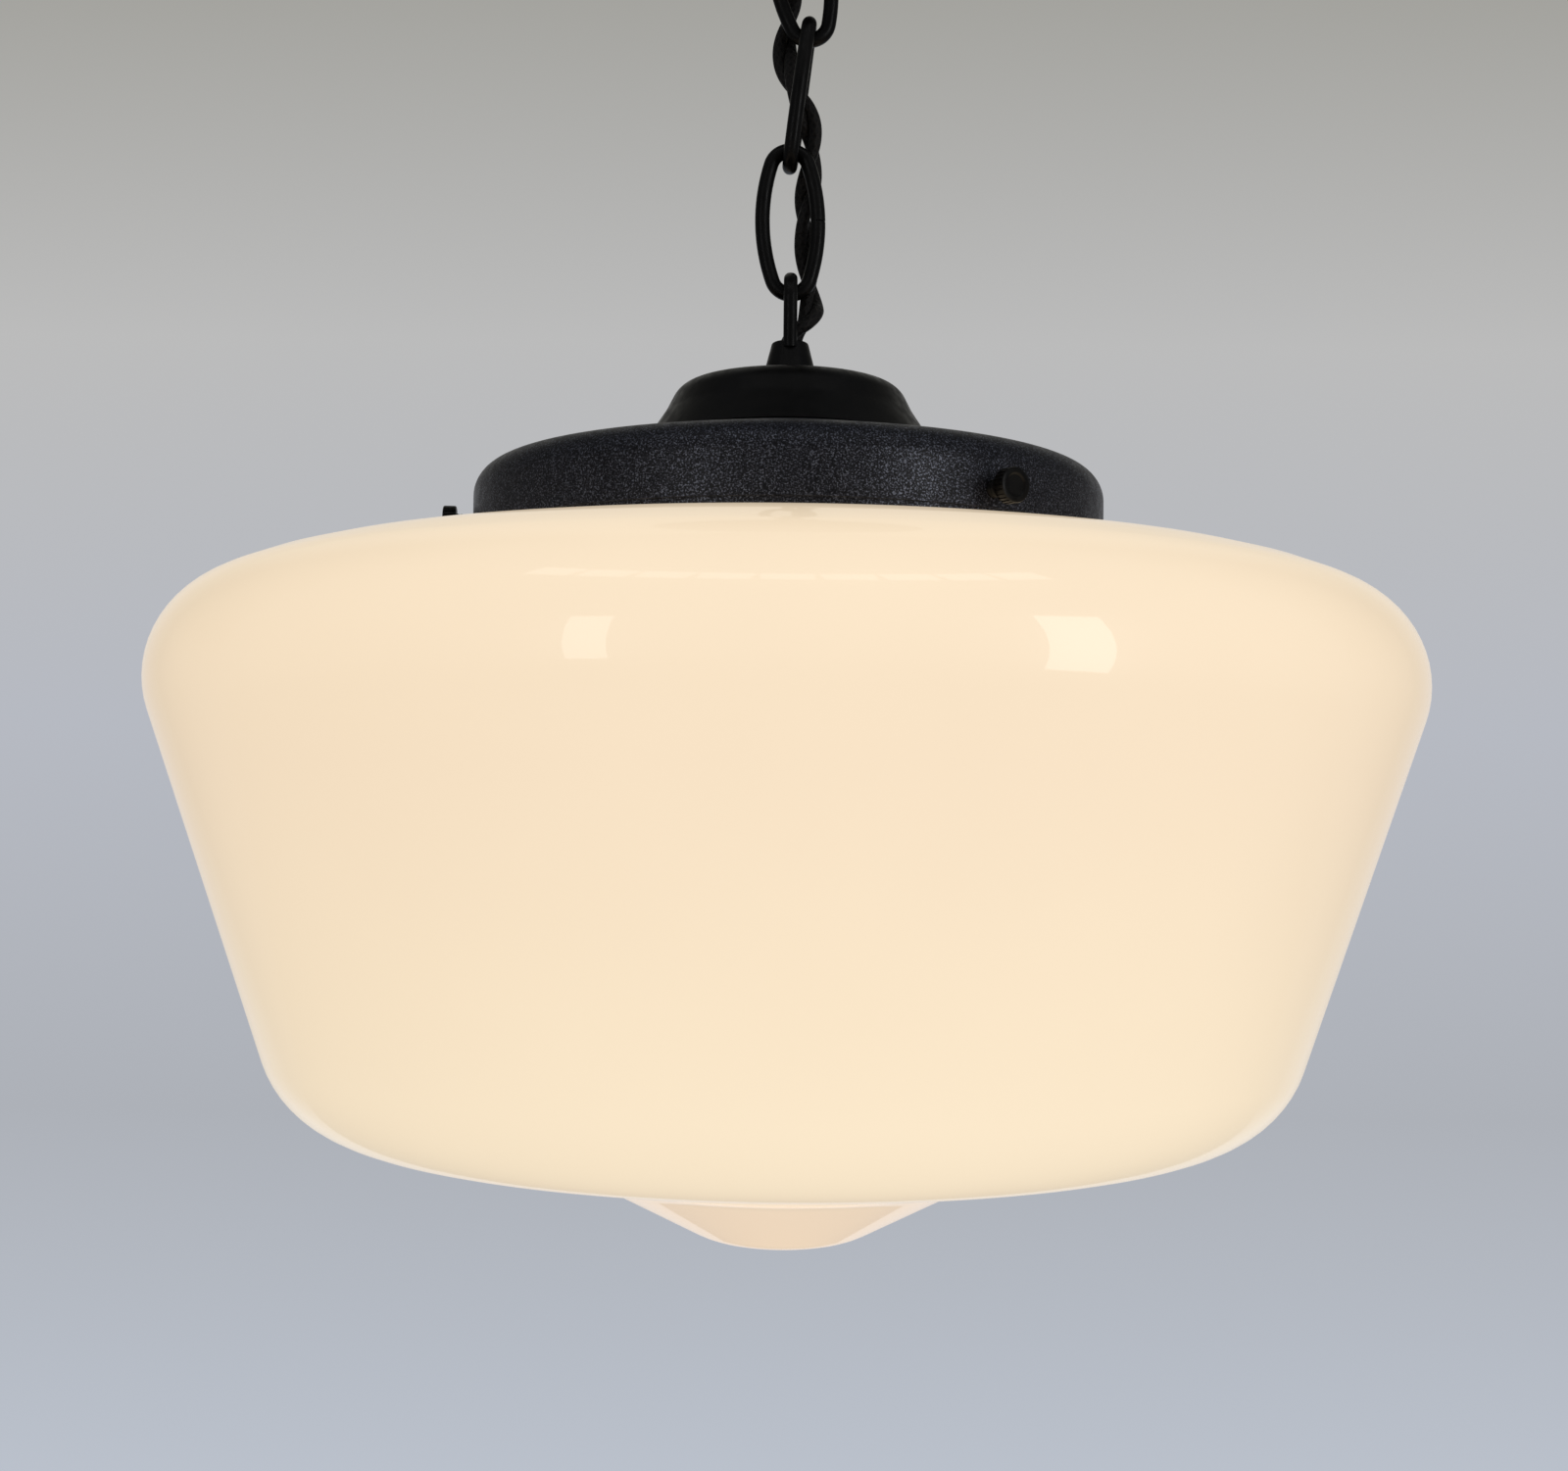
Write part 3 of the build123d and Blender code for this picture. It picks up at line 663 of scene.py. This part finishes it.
def modelLoop(neckHeight):
    # neck top at height 0, the bail above it in the YZ plane
    clearSelection()
    crown = (0, 0, loop["reach"])
    eyeCentre = loop["reach"] - loop["eyeRadius"]
    quarter = math.radians(90)
    bpy.ops.mesh.primitive_plane_add(size=1, location=crown, rotation=(quarter, 0, 0))
    bpy.context.object.scale = (loop["barWidth"], loop["barThickness"], 1)
    bpy.ops.object.transform_apply(location=False, rotation=True, scale=True)
    bpy.ops.object.mode_set(mode="EDIT")
    bpy.ops.mesh.select_mode(type="VERT")
    bpy.ops.mesh.select_all(action="SELECT")
    bpy.ops.mesh.bevel(offset=loop["barRounding"], segments=6, affect="VERTICES")
    bpy.ops.mesh.select_mode(type="FACE")
    bpy.ops.mesh.select_all(action="SELECT")
    slant = math.atan2(loop["eyeRadius"] - loop["foot"], loop["legCorner"] + loop["root"])
    bendReach = loop["legBend"] * math.tan(slant / 2)
    bpy.ops.mesh.spin(steps=16, angle=quarter, center=(0, 0, eyeCentre), axis=(1, 0, 0))
    legEnd = loop["legCorner"] + bendReach
    bpy.ops.mesh.extrude_region_move(TRANSFORM_OT_translate={"value": (0, 0, legEnd - eyeCentre)})
    bendCentre = (0, loop["eyeRadius"] - loop["legBend"], legEnd)
    bpy.ops.mesh.spin(steps=4, angle=slant, center=bendCentre, axis=(1, 0, 0))
    slantLength = math.hypot(loop["eyeRadius"] - loop["foot"], loop["legCorner"] + loop["root"]) - bendReach
    slantMove = (0, -slantLength * math.sin(slant), -slantLength * math.cos(slant))
    bpy.ops.mesh.extrude_region_move(TRANSFORM_OT_translate={"value": slantMove})
    # the mirror joins the halves, so the end face on the mirror plane goes
    selectFaces(lambda face: abs(face.center.y) < hair / 10 and abs(face.normal.y) > 0.99)
    bpy.ops.mesh.delete(type="ONLY_FACE")
    bpy.ops.object.mode_set(mode="OBJECT")
    bail = bpy.context.object
    pickOnly(bail)
    bpy.ops.object.transform_apply(location=True, rotation=True, scale=True)
    applyModifier(bail, "MIRROR", use_axis=(False, True, False), merge_threshold=0.002 * mm)
    bpy.ops.object.mode_set(mode="EDIT")
    closeMesh()
    clearSelection()
    bpy.ops.mesh.primitive_cone_add(
        vertices=64,
        radius1=loop["baseRadius"],
        radius2=loop["neckRadius"],
        depth=neckHeight,
        location=(0, 0, -neckHeight / 2),
    )
    neck = bpy.context.object
    bpy.ops.object.transform_apply(location=True, rotation=True, scale=True)
    bpy.ops.object.mode_set(mode="EDIT")
    selectEdges(lambda a, b: min(a.z, b.z) > -hair)
    bpy.ops.mesh.bevel(offset=loop["topRounding"], segments=4, affect="EDGES")
    bpy.ops.object.mode_set(mode="OBJECT")
    cutWith(neck, bail, "UNION")
    return neck


def makeLoops():
    lower = modelLoop(loop["lampNeck"])
    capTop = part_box("fixture_loop")[0].z
    lower.location.z = capTop + loop["lampNeck"]
    bore = cylinderAt(loop["bore"], -2 * loop["lampNeck"], loop["reach"] / 2)
    bore.location.z += lower.location.z
    cutWith(lower, bore)
    cutWith(lower, cylinderAt(loop["threadRadius"], capTop - mm, capTop + loop["lampThread"]))
    placePiece(lower, "lampLoop", "lamp", satinBlack, ["fixture_loop"])

    upper = modelLoop(loop["canopyNeck"])
    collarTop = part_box("canopy_loop")[1].z
    collarBottom = collarTop - collar["height"]
    neckTop = collarBottom - loop["canopyNeck"]
    upper.matrix_world = Matrix.Translation((0, 0, neckTop)) @ Matrix.Rotation(math.pi, 4, "X")
    pickOnly(upper)
    bpy.ops.object.transform_apply(location=True, rotation=True, scale=True)
    ringBody = cylinderAt(collar["radius"], collarBottom, collarTop, 96)
    bpy.ops.object.transform_apply(location=True, rotation=True, scale=True)
    bpy.ops.object.mode_set(mode="EDIT")
    selectEdges(lambda a, b: max(a.z, b.z) < collarBottom + hair or min(a.z, b.z) > collarTop - hair)
    bpy.ops.mesh.bevel(offset=collar["chamfer"], segments=2, affect="EDGES")
    bpy.ops.object.mode_set(mode="OBJECT")
    cutWith(upper, ringBody, "UNION")
    bore = cylinderAt(loop["bore"], neckTop - loop["reach"] / 2, collarTop + mm)
    cutWith(upper, bore)
    thread = cylinderAt(loop["threadRadius"], collarTop - loop["canopyThread"], collarTop + mm)
    cutWith(upper, thread)
    placePiece(upper, "canopyLoop", "ceiling", satinBlack, ["canopy_loop"])
    print("loops made")


makeLoops()

# Vase cap, flared, its foot ground flat on the holder
cap = {
    "foot": 35.6 * mm,
    "waist": (30.6 * mm, 7.6 * mm),
    "shoulder": (27.3 * mm, 14.2 * mm),
    "height": 16.6 * mm,
    "flatRadius": 10.0 * mm,
    "hole": 5.0 * mm,
    "wall": 1.0 * mm,
    "fillets": [14.0 * mm, 6.5 * mm, 20.0 * mm],
    "steps": 128,
}


def makeCap():
    corners = [
        (cap["foot"], 0),
        cap["waist"],
        cap["shoulder"],
        (cap["flatRadius"], cap["height"]),
        (cap["hole"], cap["height"]),
    ]
    outer, inner = wallOutline(corners, cap["fillets"], cap["wall"])
    # the foot is ground flat at height 0
    inner[0] = inner[0].lerp(inner[1], inner[0].y / (inner[0].y - inner[1].y))
    outline = outer + inner[::-1] + [outer[0]]
    piece = spinOutline(outline, cap["steps"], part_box("vase_cap")[0].z)
    placePiece(piece, "flaredCap", "lamp", satinBlack, ["vase_cap"])


makeCap()


def makeHolder():
    rise = (holder["radius"] - holder["flatRadius"]) * math.tan(holder["slope"])
    corners = [
        (holder["hole"], holder["skirt"] + rise),
        (holder["flatRadius"], holder["skirt"] + rise),
        (holder["radius"], holder["skirt"]),
        (holder["radius"], 0),
    ]
    outer, inner = wallOutline(corners, [holder["flatFillet"], holder["edgeFillet"]], -holder["wall"])
    hemOutside = holder["radius"] - holder["hemInset"]
    hemInside = hemOutside - holder["hemWall"]
    hemRound = holder["hemRounding"]
    hem = [
        Vector((hemOutside, 0)),
        Vector((hemOutside, hemRound - holder["hemDrop"])),
        Vector((hemOutside - hemRound, -holder["hemDrop"])),
        Vector((hemInside + hemRound, -holder["hemDrop"])),
        Vector((hemInside, hemRound - holder["hemDrop"])),
        Vector((hemInside, holder["wall"])),
        Vector((holder["radius"] - holder["wall"], holder["wall"])),
    ]
    outline = outer + hem + inner[-2::-1] + [outer[0]]
    piece = spinOutline(outline, holder["steps"], holderEdge)
    for i in range(thumb["count"]):
        cutter = cylinderAt(holder["screwHole"], -holder["cutReach"], holder["cutReach"], 32)
        cutter.matrix_world = thumbPlace(i)
        cutWith(piece, cutter)
    placePiece(piece, "holderShell", "lamp", speckledBlack, ["shade_holder"])
    print("holder made")


# Thumbscrews: knurled heads on threaded shanks
thumb = {
    "count": 3,
    "firstAngle": 35.0,
    "height": 4.0 * mm,
    "headRadius": 3.9 * mm,
    "headLength": 3.2 * mm,
    "standoff": 4.2 * mm,
    "shankRadius": 2.0 * mm,
    "shankSteps": 32,
    "tip": -4.65 * mm,
    "pointShare": 0.7,
    "pointLength": 0.4 * mm,
    "plainLength": 0.3 * mm,
    "teeth": 24,
    "knurlDepth": 0.25 * mm,
    "knurlSlope": 0.07 * mm,
    "faceRounding": 0.35 * mm,
    "rim": 0.9 * mm,
    "dish": 0.3 * mm,
    "dishSlope": 0.4 * mm,
    "threadPitch": 0.8 * mm,
    "threadDepth": 0.16 * mm,
}


def thumbPlace(i):
    # on the skirt's outer face, +Z pointing outwards along screw i
    turn = math.radians(thumb["firstAngle"] + i * 360 / thumb["count"])
    outwards = Vector((math.sin(turn), -math.cos(turn), 0))
    foot = outwards * holder["radius"] + up * (holderEdge + thumb["height"])
    across = up.cross(outwards)
    return Matrix.Translation(foot) @ Matrix((up, -across, outwards)).transposed().to_4x4()


def modelThumbscrew():
    top = thumb["standoff"] + thumb["headLength"]
    head = cylinderAt(thumb["headRadius"], thumb["standoff"], top, 2 * thumb["teeth"])
    bpy.ops.object.transform_apply(location=True, rotation=True, scale=True)
    bpy.ops.object.mode_set(mode="EDIT")
    selectEdges(lambda a, b: abs(a.z - b.z) < hair)
    bpy.ops.mesh.bevel(offset=thumb["faceRounding"], segments=2, affect="EDGES")
    sideStep = math.pi / thumb["teeth"]

    def isGroove(face):
        onSide = abs(face.normal.z) < 0.1
        place = math.atan2(face.center.y, face.center.x) % (2 * sideStep)
        return onSide and place < sideStep

    bpy.ops.mesh.select_mode(type="FACE")
    selectFaces(isGroove)
    bpy.ops.mesh.inset(thickness=thumb["knurlSlope"], depth=-thumb["knurlDepth"], use_individual=True)
    selectFaces(lambda face: face.normal.z > 0.99 and face.center.z > top - hair)
    bpy.ops.mesh.inset(thickness=thumb["rim"], depth=0)
    bpy.ops.mesh.inset(thickness=thumb["dishSlope"], depth=-thumb["dish"])
    bpy.ops.object.mode_set(mode="OBJECT")
    radius, pitch = thumb["shankRadius"], thumb["threadPitch"]
    root = radius - thumb["threadDepth"]
    insideHead = thumb["standoff"] + mm
    outline = [Vector((0, thumb["tip"])), Vector((radius * thumb["pointShare"], thumb["tip"]))]
    rise = thumb["tip"] + thumb["pointLength"]
    while rise < thumb["standoff"] - pitch:
        outline.append(Vector((radius, rise)))
        outline.append(Vector((root, rise + pitch / 2)))
        rise += pitch
    outline.append(Vector((radius, thumb["standoff"] - thumb["plainLength"])))
    outline.append(Vector((radius, insideHead)))
    outline.append(Vector((0, insideHead)))
    shank = spinOutline(outline, thumb["shankSteps"])
    pickOnly(head)
    cutWith(head, shank, "UNION")
    return head


def makeThumbscrews():
    pattern = modelThumbscrew()
    for i in range(thumb["count"]):
        pickOnly(pattern)
        bpy.ops.object.duplicate()
        copy = bpy.context.object
        copy.matrix_world = thumbPlace(i)
        name = f"thumbscrew_{i + 1}"
        placePiece(copy, f"knurledScrew{i + 1}", f"screw_{i + 1}", satinBlack, [name], 25)
    bpy.data.objects.remove(pattern, do_unlink=True)
    print("thumbscrews made")


makeThumbscrews()
makeHolder()

# Glass shade, heights counted from the holder's lower edge
shade = {
    "wall": 3.7 * mm,
    "neckRadius": 72.5 * mm,
    "lipRadius": 2.7 * mm,
    "outline": [
        (157.8 * mm, -23.1 * mm),
        (119.0 * mm, -139.0 * mm),
        (50.0 * mm, -153.0 * mm),
        (17.0 * mm, -170.2 * mm),
    ],
    "crest": (119.5 * mm, -6.1 * mm),
    "neckRoot": -9.5 * mm,
    "fillets": [4.0 * mm, 74.0 * mm, 25.0 * mm, 27.0 * mm, 30.0 * mm, 24.0 * mm],
    "steps": 224,
    "lipSteps": 28,
}


def makeShade():
    lipCentre = shade["neckRadius"] - shade["wall"] + shade["lipRadius"]
    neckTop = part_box("glass_shade")[1].z - shade["lipRadius"] - holderEdge
    tipDepth = shade["outline"][-1][1]
    corners = [
        (shade["neckRadius"], neckTop),
        (shade["neckRadius"], shade["neckRoot"]),
        shade["crest"],
        *shade["outline"],
        (0, tipDepth),
    ]
    outer, inner = wallOutline(corners, shade["fillets"], -shade["wall"])
    onLip = (shade["neckRadius"] - lipCentre) / shade["lipRadius"]
    lipStart = -math.acos(onLip)
    lip = []
    for k in range(shade["lipSteps"] + 1):
        turn = lipStart + (math.pi - lipStart) * k / shade["lipSteps"]
        reach = Vector((math.cos(turn), math.sin(turn))) * shade["lipRadius"]
        lip.append(Vector((lipCentre, neckTop)) + reach)
    outline = outer[:0:-1] + lip + inner[1:]
    piece = spinOutline(outline, shade["steps"], holderEdge)
    placePiece(piece, "opalShade", "lamp", opalGlass, ["glass_shade"], 40)
    print("shade made")


makeShade()

# Canopy: a shallow bell with a ring nut under it
canopy = {
    "radius": 63.5 * mm,
    "depth": 22.0 * mm,
    "wall": 0.9 * mm,
    "lip": 4.0 * mm,
    "corner": (50.0 * mm, -13.0 * mm),
    "hubRadius": 24.0 * mm,
    "hole": 13.9 * mm,
    "fillets": [4.0 * mm, 12.0 * mm, 12.0 * mm],
    "steps": 128,
}
ring = {
    "radius": 18.0 * mm,
    "bore": 13.55 * mm,
    "teeth": 36,
    "knurlDepth": 0.4 * mm,
    "knurlSlope": 0.15 * mm,
    "rounding": 0.6 * mm,
}


def makeCanopy():
    corners = [
        (canopy["radius"], 0),
        (canopy["radius"], -canopy["lip"]),
        canopy["corner"],
        (canopy["hubRadius"], -canopy["depth"]),
        (canopy["hole"], -canopy["depth"]),
    ]
    outer, inner = wallOutline(corners, canopy["fillets"], -canopy["wall"])
    outline = outer + inner[::-1] + [outer[0]]
    piece = spinOutline(outline, canopy["steps"])
    placePiece(piece, "canopyBell", "ceiling", speckledBlack, ["canopy"])


def makeRing():
    bottom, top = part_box("canopy_ring")[0].z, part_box("canopy_ring")[1].z
    piece = cylinderAt(ring["radius"], bottom, top, 2 * ring["teeth"])
    bpy.ops.object.transform_apply(location=True, rotation=True, scale=True)
    bpy.ops.object.mode_set(mode="EDIT")
    selectEdges(lambda a, b: abs(a.z - b.z) < hair)
    bpy.ops.mesh.bevel(offset=ring["rounding"], segments=3, affect="EDGES")
    sideStep = math.pi / ring["teeth"]
    bpy.ops.mesh.select_mode(type="FACE")
    selectFaces(
        lambda face: abs(face.normal.z) < 0.1
        and math.atan2(face.center.y, face.center.x) % (2 * sideStep) < sideStep
    )
    bpy.ops.mesh.inset(thickness=ring["knurlSlope"], depth=-ring["knurlDepth"], use_individual=True)
    bpy.ops.object.mode_set(mode="OBJECT")
    bore = cylinderAt(ring["bore"], bottom - mm, top + mm, 96)
    cutWith(piece, bore)
    placePiece(piece, "ringNut", "ring", satinBlack, ["canopy_ring"])


makeCanopy()
makeRing()
print("canopy made")

# The inner pieces keep their solids and take their finishes
finishes = {
    "ceiling_strap": zincSteel,
    "canopy_nipple": zincSteel,
    "canopy_nipple_nut": zincSteel,
    "ground_screw": greenSteel,
    "supply_leads": leadSkin,
    "wire_connectors": connectorShell,
    "stem_nipple": zincSteel,
    "stem_lock_washer": zincSteel,
    "stem_nut": zincSteel,
    "socket_cup": zincSteel,
    "socket_body": whitePorcelain,
    "socket_screw_shell": brassMetal,
    "socket_centre_contact": brassMetal,
    "socket_terminal_screws": brassMetal,
    "socket_leads": leadSkin,
    "bulb_tip": solderMetal,
    "bulb_insulator": blackGlass,
    "bulb_screw_base": nickelMetal,
    "bulb_collar": lampPlastic,
    "bulb_globe": lampDiffuser,
}
for node, material in finishes.items():
    piece = frame["nodes"][node]
    piece.data.materials.clear()
    piece.data.materials.append(material)

# Wall, floor and light
room = {
    "strength": 0.22,
    # each panel's turn from the camera's side in degrees, height, distance, size and power
    "panels": {
        "rightWindow": (46, -0.1, 1.6, (0.32, 1.1), 3.6),
        "leftWindow": (-31, -0.1, 1.8, (0.22, 1.0), 1.8),
    },
    # a row of small high windows round the camera's side, each facing the lamp
    "windows": {
        "count": 9,
        "distance": 1.9,
        "elevation": math.radians(50.0),
        "spread": math.radians(110.0),
        "size": (0.26, 0.2),
        "power": 0.28,
    },
    "middle": (0, 0, -0.26),
}
stageSet = {
    "wallDistance": 2.2,
    "floorDepth": -1.6,
    "size": 14.0,
    # the wall's painted light changes in colour and brightness between these heights
    "paintedLightHeights": (-1.2, 0.9),
    # to each side of the lamp the wall's painted light is even up to the first place and dims to painted
    # shade past the second
    "litWidth": (1.25, 2.2),
    "dim": 0.25,
}


def wallMaterial():
    # painted light on the wall: soft bands of lit colour from floor to ceiling, dimmer towards the sides as
    # painted shade
    material, tree = startMaterial("wallPaintedLight")[:2]
    place = tree.nodes.new("ShaderNodeTexCoord")
    split = tree.nodes.new("ShaderNodeSeparateXYZ")
    tree.links.new(place.outputs["Object"], split.inputs["Vector"])
    rise = addNode(tree, "ShaderNodeMapRange")
    rise.inputs["From Min"].default_value, rise.inputs["From Max"].default_value = stageSet["paintedLightHeights"]
    tree.links.new(split.outputs["Z"], rise.inputs["Value"])
    # painted light: the wall's colour and brightness by height
    colour = addRamp(tree, rise.outputs["Result"], [
        (0.0, (0.50, 0.54, 0.61)),
        (0.25, (0.42, 0.44, 0.48)),
        (0.5, (0.47, 0.49, 0.54)),
        (0.75, (0.50, 0.50, 0.50)),
        (1.0, (0.36, 0.355, 0.33)),
    ])
    glowing = tree.nodes.new("ShaderNodeEmission")
    tree.links.new(colour, glowing.inputs["Color"])
    # painted shade: the wall dims away to each side of the lamp
    sideways = addNode(tree, "ShaderNodeMath")
    sideways.operation = "ABSOLUTE"
    tree.links.new(split.outputs["X"], sideways.inputs[0])
    fall = addNode(tree, "ShaderNodeMapRange")
    fall.inputs["From Min"].default_value, fall.inputs["From Max"].default_value = stageSet["litWidth"]
    fall.inputs["To Min"].default_value = 1.0
    fall.inputs["To Max"].default_value = stageSet["dim"]
    tree.links.new(sideways.outputs[0], fall.inputs["Value"])
    tree.links.new(fall.outputs["Result"], glowing.inputs["Strength"])
    tree.links.new(glowing.outputs["Emission"], tree.nodes["Material Output"].inputs["Surface"])
    return material


def floorMaterial():
    material, _, shader = startMaterial("paleFloor")
    shader.inputs["Base Color"].default_value = (0.62, 0.63, 0.65, 1)
    shader.inputs["Roughness"].default_value = 0.8
    return material


def makeStage():
    size, away = stageSet["size"], stageSet["wallDistance"]
    clearSelection()
    bpy.ops.mesh.primitive_plane_add(size=size, location=(0, away, 0), rotation=(math.radians(90), 0, 0))
    wall = bpy.context.object
    bpy.ops.object.transform_apply(location=True, rotation=True, scale=True)
    wall.name = "wall"
    wall.data.materials.append(wallMaterial())
    wall.visible_diffuse = False
    clearSelection()
    bpy.ops.mesh.primitive_plane_add(size=size, location=(0, 0, stageSet["floorDepth"]))
    floor = bpy.context.object
    floor.name = "floor"
    floor.data.materials.append(floorMaterial())


def addPanel(name, place, size, power):
    # a rectangular lamp that faces the middle of the object
    clearSelection()
    bpy.ops.object.light_add(type="AREA", location=place)
    panel = bpy.context.object
    panel.name = name
    panel.data.shape = "RECTANGLE"
    panel.data.size, panel.data.size_y = size
    panel.data.energy = power
    facing = Vector(room["middle"]) - Vector(place)
    panel.rotation_euler = facing.to_track_quat("-Z", "Y").to_euler()
    panel.visible_camera = False


def makeLight():
    world = bpy.context.scene.world or bpy.data.worlds.new("room")
    bpy.context.scene.world = world
    world.use_nodes = True
    background = world.node_tree.nodes["Background"]
    background.inputs["Color"].default_value = (0.60, 0.62, 0.66, 1)
    background.inputs["Strength"].default_value = room["strength"]
    for name, (turn, height, away, size, power) in room["panels"].items():
        angle = math.radians(turn)
        addPanel(name, (away * math.sin(angle), -away * math.cos(angle), height), size, power)
    windows = room["windows"]
    lift = windows["elevation"]
    away, height = windows["distance"] * math.cos(lift), windows["distance"] * math.sin(lift)
    for i in range(windows["count"]):
        turn = windows["spread"] * (i / (windows["count"] - 1) - 0.5)
        place = (away * math.sin(turn), -away * math.cos(turn), height)
        addPanel(f"window{i + 1}", place, windows["size"], windows["power"])


def makeCamera():
    tilt, pan, roll = camera["tiltUp"], camera["pan"], camera["roll"]
    ahead = Vector((math.sin(pan) * math.cos(tilt), math.cos(pan) * math.cos(tilt), math.sin(tilt)))
    right = Vector((math.cos(pan), -math.sin(pan), 0))
    upward = right.cross(ahead)
    imageRight = right * math.cos(roll) + upward * math.sin(roll)
    imageUp = upward * math.cos(roll) - right * math.sin(roll)
    place = Vector((0, -camera["distance"], holderEdge - camera["belowHolder"]))
    clearSelection()
    bpy.ops.object.camera_add(location=place)
    view = bpy.context.object
    axes = Matrix((imageRight, imageUp, -ahead)).transposed().to_4x4()
    view.matrix_world = Matrix.Translation(place) @ axes
    view.data.sensor_width = camera["sensor"]
    view.data.lens = camera["focalPixels"] * camera["sensor"] / camera["photoWidth"]
    view.data.clip_start = 10 * mm
    bpy.context.scene.camera = view


makeStage()
makeLight()
makeCamera()
bpy.context.scene.view_settings.view_transform = "Standard"
print("stage, light and camera set")
